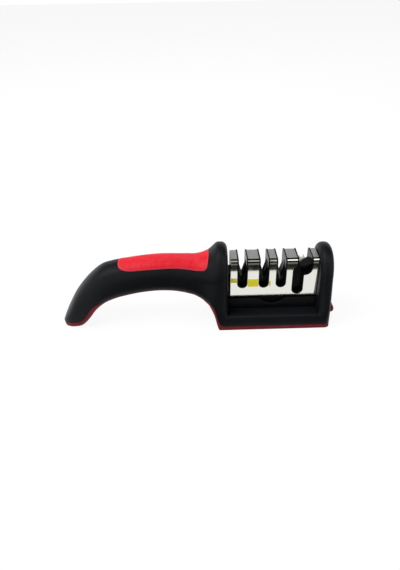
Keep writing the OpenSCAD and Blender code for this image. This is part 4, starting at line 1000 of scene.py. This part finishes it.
quarter = np.sin(np.linspace(0, math.pi / 2, 12))
height_rows = np.unique(np.round(np.concatenate([
    np.linspace(STEEL_LOW, STEEL_TOP - STEEL_BEND, 26), LEG_LOW + LEG[1] * (1 - quarter),
    SLOT_LOW + SLOT_HALF * (1 - quarter), LEG_TURN + (LEG_TURN_END - LEG_TURN) * quarter,
    MOUTH[1] - MOUTH[2] * quarter]), 4))
front_run = along_from_height(height_rows[::-1])
flat_end = STEEL_HALF - STEEL_BEND
arch_run = np.concatenate([np.linspace(0, flat_end, 6)[:-1], np.linspace(flat_end, front_run[0], 19)[:-1]])
half_run = np.concatenate([arch_run, front_run])
half_height = np.concatenate([np.full(len(arch_run), STEEL_TOP), height_rows[::-1]])
run = np.concatenate([-half_run[::-1], half_run[1:]])
run_height = np.concatenate([half_height[::-1], half_height[1:]])
edges = [knife_edges(mid, run_height) for mid in KNIFE_SLOTS] + [scissor_edges(run_height)]
lefts = [np.full(len(run), STEEL_LEFT)] + [e[1] for e in edges]
rights = [e[0] for e in edges] + [np.full(len(run), STEEL_RIGHT)]
tabs, tab_uvs = [], []
across = np.linspace(0, 1, 7)


def sheet_patch(x, lengths, out):
    """Adds a patch of the sheet, and its flat map in metres."""
    tabs.append(fold(x, lengths, out))
    tab_uvs.append(np.stack([x, lengths], -1) * MM)


for number, (low, high) in enumerate(zip(lefts, rights)):
    x = low[:, None] + (high - low)[:, None] * across
    lengths = np.broadcast_to(run[:, None], x.shape)
    sheet_patch(x, lengths, np.zeros(x.shape))
    sheet_patch(x, lengths, np.full(x.shape, -SHEET))
    for end in (0, -1):
        sheet_patch(x[[end, end]], lengths[[end, end]], np.array([[0], [-SHEET]]) * np.ones(len(across)))
    for column, slot_number in ((0, number - 1), (-1, number)):
        cut = np.ones(len(run), bool)
        if 0 <= slot_number < len(edges):
            open_rows = np.flatnonzero(edges[slot_number][1] - edges[slot_number][0] > 0)
            cut[:] = False
            cut[open_rows[0] - 1:open_rows[-1] + 2] = True
        sheet_patch(x[cut][:, [column, column]], lengths[cut][:, [column, column]],
                    np.array([[0, -SHEET]]) * np.ones((cut.sum(), 1)))

# Stainless steel: polished to a mirror on the faces, and drawn along the bends on the top, with
# fine lines, a greyer tone and a wider gloss.
STEEL_POLISHED = "E4E4DC"
STEEL_DARK_LINE = "76787A"
STEEL_PALE_LINE = "C4C6C1"
# the lines' spacing, drawn coarser than the real one, and their length
BRUSH_MM = 0.12
BRUSH_LENGTH_MM = 9.0
SMEAR_MM = 7.0
FADE_MM = 0.4
BRUSH_DEPTH = 0.02
steel_material, tree, out = blank_material("stainless_steel_sheet")
flat_map = add(tree, "ShaderNodeUVMap", uv_map="sheet").outputs[0]
parts = add(tree, "ShaderNodeSeparateXYZ", {0: flat_map})
distance = add(tree, "ShaderNodeMath", {0: parts.outputs[1]}, operation="ABSOLUTE")
TOP_END = (STEEL_HALF - STEEL_BEND) * MM
on_top = add(tree, "ShaderNodeMapRange", {"Value": distance.outputs[0]},
             {"From Min": TOP_END, "From Max": TOP_END + FADE_MM * MM, "To Min": 1.0, "To Max": 0.0})
stretched = add(tree, "ShaderNodeMapping", {"Vector": flat_map},
                {"Scale": (1 / (BRUSH_MM * MM), 1 / (BRUSH_LENGTH_MM * MM), 1)})
lines = add(tree, "ShaderNodeTexNoise", {"Vector": stretched.outputs[0]}, {"Scale": 1.0, "Detail": 3.0})
smear = add(tree, "ShaderNodeTexNoise", {"Vector": flat_map}, {"Scale": 1 / (SMEAR_MM * MM), "Detail": 3.0})
brushed = add(tree, "ShaderNodeMix", {0: lines.outputs[0]},
              {6: linear(STEEL_DARK_LINE), 7: linear(STEEL_PALE_LINE)}, data_type="RGBA")
colour = add(tree, "ShaderNodeMix", {0: on_top.outputs[0], 7: brushed.outputs[2]},
             {6: linear(STEEL_POLISHED)}, data_type="RGBA")
polish = add(tree, "ShaderNodeMapRange", {"Value": smear.outputs[0]}, {"To Min": 0.03, "To Max": 0.09})
rough = add(tree, "ShaderNodeMix", {0: on_top.outputs[0], 2: polish.outputs[0]}, {3: 0.42}, data_type="FLOAT")
lift = add(tree, "ShaderNodeMath", {0: lines.outputs[0], 1: on_top.outputs[0]}, operation="MULTIPLY")
bump = add(tree, "ShaderNodeBump", {"Height": lift.outputs[0]},
           {"Strength": 0.25, "Distance": BRUSH_DEPTH * MM})
shader = add(tree, "ShaderNodeBsdfPrincipled",
             {"Base Color": colour.outputs[2], "Roughness": rough.outputs[0], "Normal": bump.outputs[0]},
             {"Metallic": 1.0})
tree.links.new(shader.outputs[0], out.inputs[0])

cover = make_piece("steel_sheet", tabs, uv=tab_uvs)
fit(cover, steel_material, "cartridge", "cover_steel", "steel_cover")


# Slot rims: the core's black plastic stands through each slot as a rounded bead, one closed loop
# down the front, round the slot's foot, up and over the top, and down the back.
RIM = 1.1
RIM_PROUD = 0.35
RIM_BURIED = 0.35


def knife_loop(mid, inset):
    """The closed path of a knife slot's rim on the flat sheet, drawn in by an inset: up one side, a
    half circle, down the other side and a half circle."""
    r = SLOT_HALF - inset
    end = along_from_height(SLOT_LOW + SLOT_HALF)
    side = np.linspace(-end, end, 90)
    a = np.linspace(0, math.pi, 20)[1:-1]
    left = np.stack([np.full(90, mid - r), side], 1)
    back = np.stack([mid - r * np.cos(a), end + r * np.sin(a)], 1)
    right = np.stack([np.full(90, mid + r), side[::-1]], 1)
    front = np.stack([mid + r * np.cos(a), -end - r * np.sin(a)], 1)
    return np.concatenate([left, back, right, front])


def scissor_loop(inset):
    """The closed path of the scissors slot's rim on the flat sheet, drawn in by an inset: arcs and
    straight runs up each edge of the front, over the top and down the back."""
    r, mouth_r = LEG[1] - inset, MOUTH[2] - inset
    low = LEG_LOW + LEG[1]

    def arc(cx, cz, radius, start, stop, count):
        a = np.radians(np.linspace(start, stop, count))
        return np.stack([cx + radius * np.cos(a), cz + radius * np.sin(a)], 1)

    mouth_left, leg_right = MOUTH[0] - mouth_r, LEG[0] + r
    stop = math.degrees(math.acos((mouth_left - LEG[0]) / r))
    begin = -math.degrees(math.acos((leg_right - MOUTH[0]) / mouth_r))
    top = STEEL_TOP - STEEL_BEND
    left = np.concatenate([arc(LEG[0], low, r, 270, 180, 12),
                           np.stack([np.full(14, LEG[0] - r), np.linspace(low, LEG_TURN, 16)[1:-1]], 1),
                           arc(LEG[0], LEG_TURN, r, 180, stop, 12), [[mouth_left, top]]])
    right = np.concatenate([arc(LEG[0], low, r, 270, 360, 12)[1:],
                            np.stack([np.full(12, leg_right),
                                      np.linspace(low, MOUTH[1] - mouth_r, 14)[1:-1]], 1),
                            arc(MOUTH[0], MOUTH[1], mouth_r, begin, 0, 16), [[MOUTH[0] + mouth_r, top]]])
    over = np.linspace(-along_from_height(top), along_from_height(top), 34)[1:-1]

    def down(path, sign):
        return np.stack([path[:, 0], sign * along_from_height(path[:, 1])], 1)

    return np.concatenate([down(left, -1), np.stack([np.full(32, mouth_left), over], 1), down(left[::-1], 1),
                           down(right, 1), np.stack([np.full(32, MOUTH[0] + mouth_r), over[::-1]], 1),
                           down(right[::-1], -1)[:-1]])


def rim_bead(path):
    """A bead along a closed path on the sheet: an oval section square to the path, wider than high."""
    ahead, behind = np.roll(path, -1, 0), np.roll(path, 1, 0)
    along = ahead - behind
    along = along / np.linalg.norm(along, axis=1)[:, None]
    across = np.stack([along[:, 1], -along[:, 0]], 1)
    a = np.linspace(0, 2 * math.pi, 13)
    flat = path[:, None, :] + across[:, None, :] * (RIM / 2 * np.cos(a))[None, :, None]
    high = np.broadcast_to(-RIM_BURIED + (RIM_PROUD + RIM_BURIED) * np.sin(a), flat.shape[:2])
    grid = fold(flat[:, :, 0], flat[:, :, 1], high)
    return [np.concatenate([grid, grid[:1]])]


core_material = black_abs("smooth_black_abs", CORE_BLACK, CORE_RUBBED, 0.24, 0.06, 0.08)
for number, loop in enumerate([knife_loop(mid, RIM / 2) for mid in KNIFE_SLOTS] + [scissor_loop(RIM / 2)], 1):
    bead = make_piece(f"slot_rim_{number}", rim_bead(loop))
    fit(bead, core_material, "cartridge", "core_black")


def finish_node(name, material):
    """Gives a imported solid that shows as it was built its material."""
    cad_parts[name].data.materials.clear()
    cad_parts[name].data.materials.append(material)


# the core halves, the base plate and the latch parts are plain mouldings in the same plastic
for name in ("core_front", "core_rear", "cartridge_base", "latch_slide", "latch_bridge"):
    finish_node(name, core_material)


# Rods and blades: a pair to each knife slot, crossing low in it. The first pair is ground
# carbide, the second steel coated with diamond grit, the third glazed ceramic, and one white
# ceramic rod lies across the scissors slot.
ROD = 5.5
LEAN = math.radians(17)
CROSS_HEIGHT = 36.6
ROD_FOOT = 28.4
ROD_HEAD = 57.5
ROD_Y = 2.8
BLADE_THICK = 2.4
BLADE_GAP = 0.05
BLADE_CHAMFER = 0.25
BLADE_SHARP = math.radians(20)
# radius of the last ring at a rod's end, and its share of the section on a blade or a wire
END_RING = 0.01
END_SHARE = 0.001


def turned_rod(start, end, diameter, chamfer=0.4):
    """A round rod between two points: rings along it, with chamfered ends drawn in to a tiny ring."""
    start, end = np.asarray(start, float), np.asarray(end, float)
    axis = (end - start) / np.linalg.norm(end - start)
    u = np.cross(axis, (0, 1, 0))
    u = u / np.linalg.norm(u)
    v = np.cross(axis, u)
    length = np.linalg.norm(end - start)
    run = np.array([0, 0, chamfer, *np.linspace(chamfer * 2, length - chamfer * 2, 9), length - chamfer,
                    length, length])
    radius = np.full(len(run), diameter / 2)
    radius[[0, -1]] = END_RING
    radius[[1, -2]] -= chamfer
    a = np.linspace(0, 2 * math.pi, 49)
    ring = np.cos(a)[:, None] * u + np.sin(a)[:, None] * v
    return [start + axis * run[:, None, None] + ring[None] * radius[:, None, None]]


def leaning_ends(mid, side):
    """The foot and head of a leaning rod's middle line: side -1 leans left and stands in front."""
    foot = (mid + side * math.tan(LEAN) * (ROD_FOOT - CROSS_HEIGHT), side * ROD_Y, ROD_FOOT)
    head = (mid + side * math.tan(LEAN) * (ROD_HEAD - CROSS_HEIGHT), side * ROD_Y, ROD_HEAD)
    return foot, head


def rod_material(name, dark, light, roughness, grit_mm, grit, metallic):
    """A ground, coated or glazed rod: two tones in fine grit, with bump of the grit's size."""
    made, tree, out = blank_material(name)
    where = add(tree, "ShaderNodeTexCoord").outputs["Object"]
    cells = add(tree, "ShaderNodeTexNoise", {"Vector": where}, {"Scale": 1 / (grit_mm * MM), "Detail": 3.0})
    colour = add(tree, "ShaderNodeMix", {0: cells.outputs[0]}, {6: linear(dark), 7: linear(light)},
                 data_type="RGBA")
    bump = add(tree, "ShaderNodeBump", {"Height": cells.outputs[0]},
               {"Strength": grit, "Distance": grit_mm * MM * 0.4})
    shader = add(tree, "ShaderNodeBsdfPrincipled",
                 {"Base Color": colour.outputs[2], "Normal": bump.outputs[0]},
                 {"Metallic": metallic, "Roughness": roughness})
    tree.links.new(shader.outputs[0], out.inputs[0])
    return made


# grey diamond grit on steel, glazed grey ceramic, matt white ceramic and smooth dark carbide. The
# grit and the ceramics' grain are drawn coarser than the real ones so that they show
diamond = rod_material("diamond_coated_steel", "4C4E50", "8E9092", 0.38, 0.25, 0.5, 0.85)
ceramic = rod_material("glazed_grey_ceramic", "7C7E7C", "9C9E9A", 0.18, 1.2, 0.08, 0.0)
white_ceramic = rod_material("fired_white_ceramic", "DAD9D0", "EFEEE6", 0.4, 0.8, 0.12, 0.0)
carbide = rod_material("ground_carbide", "303134", "55575A", 0.3, 0.4, 0.1, 1.0)
for mid, kind, slot_name, made_of in ((KNIFE_SLOTS[1], "diamond_rod", "diamond", diamond),
                                      (KNIFE_SLOTS[2], "ceramic_rod", "ceramic", ceramic)):
    for side, hand in ((-1, "left"), (1, "right")):
        rod = make_piece(f"{kind}_{hand}_turned", turned_rod(*leaning_ends(mid, side), ROD))
        fit(rod, made_of, "cartridge", slot_name, f"{kind}_{hand}")


def ground_blade(side):
    """A flat blade standing on the slant: a chamfered rectangle carried from foot to head."""
    foot, head = (np.array(p) for p in leaning_ends(KNIFE_SLOTS[0], side))
    foot[1] = head[1] = side * (BLADE_THICK / 2 + BLADE_GAP)
    axis = (head - foot) / np.linalg.norm(head - foot)
    across = np.cross((0, 1, 0), axis)
    w, t, c = ROD / 2, BLADE_THICK / 2, BLADE_CHAMFER
    outline = np.array([(w, t - c), (w - c, t), (-w + c, t), (-w, t - c), (-w, -t + c), (-w + c, -t),
                        (w - c, -t), (w, -t + c), (w, t - c)])
    ring = outline[:, :1] * across + outline[:, 1:] * np.array([0, 1, 0])
    length = np.linalg.norm(head - foot)
    run = np.array([0, 0, c, length / 2, length - c, length, length])
    scale = np.array([END_SHARE, 1 - c / w, 1, 1, 1, 1 - c / w, END_SHARE])
    return [foot + axis * run[:, None, None] + ring[None] * scale[:, None, None]]


for side, hand in ((-1, "left"), (1, "right")):
    blade = make_piece(f"carbide_{hand}_ground", ground_blade(side), sharp=BLADE_SHARP)
    fit(blade, carbide, "cartridge", "carbide", f"carbide_blade_{hand}")

SCISSOR_START = (202.44, 0, 52.34)
SCISSOR_SLOPE = math.radians(35)
SCISSOR_LENGTH = 12.8
SCISSOR_D = 4.6
scissor_way = np.array([math.cos(SCISSOR_SLOPE), 0, math.sin(SCISSOR_SLOPE)])
scissor_end = np.add(SCISSOR_START, SCISSOR_LENGTH * scissor_way)
scissor = make_piece("scissor_rod_turned", turned_rod(SCISSOR_START, scissor_end, SCISSOR_D))
fit(scissor, white_ceramic, "cartridge", "white_ceramic", "scissor_rod")


# Slot bands: plain yellow bands printed across the first two tabs, and a stroke of it on the third,
# which tell the slots apart. The ink is slightly worn.
BAND_YELLOW = "DCCC0C"
BAND_YELLOW_LIGHT = "EEDE20"
WEAR_MM = 1.2
BAND_PROUD = 0.03
BAND_BURIED = 0.02
# left, right, low and high edge of each
BANDS = ((149.6, 154.8, 40.5, 45.0), (164.3, 173.3, 36.2, 43.7), (182.8, 184.2, 36.4, 41.5))
band_material, tree, out = blank_material("yellow_print")
where = add(tree, "ShaderNodeTexCoord").outputs["Object"]
worn = add(tree, "ShaderNodeTexNoise", {"Vector": where}, {"Scale": 1 / (WEAR_MM * MM), "Detail": 3.0})
colour = add(tree, "ShaderNodeMix", {0: worn.outputs[0]},
             {6: linear(BAND_YELLOW), 7: linear(BAND_YELLOW_LIGHT)}, data_type="RGBA")
shader = add(tree, "ShaderNodeBsdfPrincipled", {"Base Color": colour.outputs[2]},
             {"Roughness": 0.35, "Specular IOR Level": 0.2})
tree.links.new(shader.outputs[0], out.inputs[0])
for number, (x0, x1, z0, z1) in enumerate(BANDS, 1):
    x, z = np.meshgrid(np.linspace(x0, x1, 8), np.linspace(z0, z1, 6))
    face = np.stack([x, np.full(x.shape, -STEEL_HALF - BAND_PROUD), z], -1)
    back = face + (0, BAND_PROUD + BAND_BURIED, 0)
    edges = [np.stack([face[pick], back[pick]]) for pick in (0, -1, np.s_[:, 0], np.s_[:, -1])]
    band = make_piece(f"slot_band_{number}", [face, back] + edges)
    fit(band, band_material, "cartridge", "cover_steel")


# Screws: cross-recessed screws of zinc-plated steel, pale grey with a soft shine. They hold the sole,
# the latch's bridge, the two core halves and the cartridge's base, and show as they were built.
zinc_steel = rod_material("zinc_plated_steel", "8E9092", "B8BABB", 0.3, 0.6, 0.15, 1.0)
for name in ("sole_screws", "bridge_screws", "core_screws", "base_screws"):
    finish_node(name, zinc_steel)


# Latch spring: steel spring wire wound round the slide's stub, between its seat in the body and
# the slide. Its first and last turns lie close. On the sharpener the button's travel shortens it; here it is
# built at one length.
SPRING_SEAT = 194.85
SPRING_LENGTH = 12.4
SPRING_D = 5.2
SPRING_WIRE = 0.7
SPRING_TURNS = 7
SPRING_MID_Z = 9.3
SPRING_GAP = 0.05
SPRING_STEPS = 32
# relative lead at the coil's two ends: it grows by 1 over the first turn and shrinks over the last
END_LEAD = 0.55


def wound_wire():
    """A tube along a helix whose lead is small in its first and last turn. Its place along x is the
    running sum of the lead, and its section is a circle square to the wire."""
    r, q = (SPRING_D - SPRING_WIRE) / 2, SPRING_WIRE / 2
    turn = np.linspace(0, SPRING_TURNS, SPRING_TURNS * SPRING_STEPS + 1)
    lead = END_LEAD + np.minimum(1, np.minimum(turn, SPRING_TURNS - turn))
    along = np.concatenate([[0], np.cumsum((lead[1:] + lead[:-1]) / 2 * np.diff(turn))])
    run = SPRING_LENGTH - SPRING_WIRE - 2 * SPRING_GAP
    x = SPRING_SEAT + q + SPRING_GAP + run * along / along[-1]
    a = 2 * math.pi * turn
    path = np.stack([x, r * np.cos(a), SPRING_MID_Z + r * np.sin(a)], -1)
    out = np.stack([0 * a, np.cos(a), np.sin(a)], -1)
    ahead = np.gradient(path, axis=0)
    ahead = ahead / np.linalg.norm(ahead, axis=1)[:, None]
    side = np.cross(ahead, out)
    b = np.linspace(0, 2 * math.pi, 13)
    ring = out[:, None] * np.cos(b)[None, :, None] + side[:, None] * np.sin(b)[None, :, None]
    tube = path[:, None] + q * ring
    ends = [np.stack([path[i] + (tube[i] - path[i]) * f for f in (END_SHARE, 1)])
            for i in (0, -1)]
    return [tube] + ends


coil = make_piece("latch_spring_coil", wound_wire())
fit(coil, zinc_steel, "body", "spring_steel", "latch_spring")
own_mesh(coil)
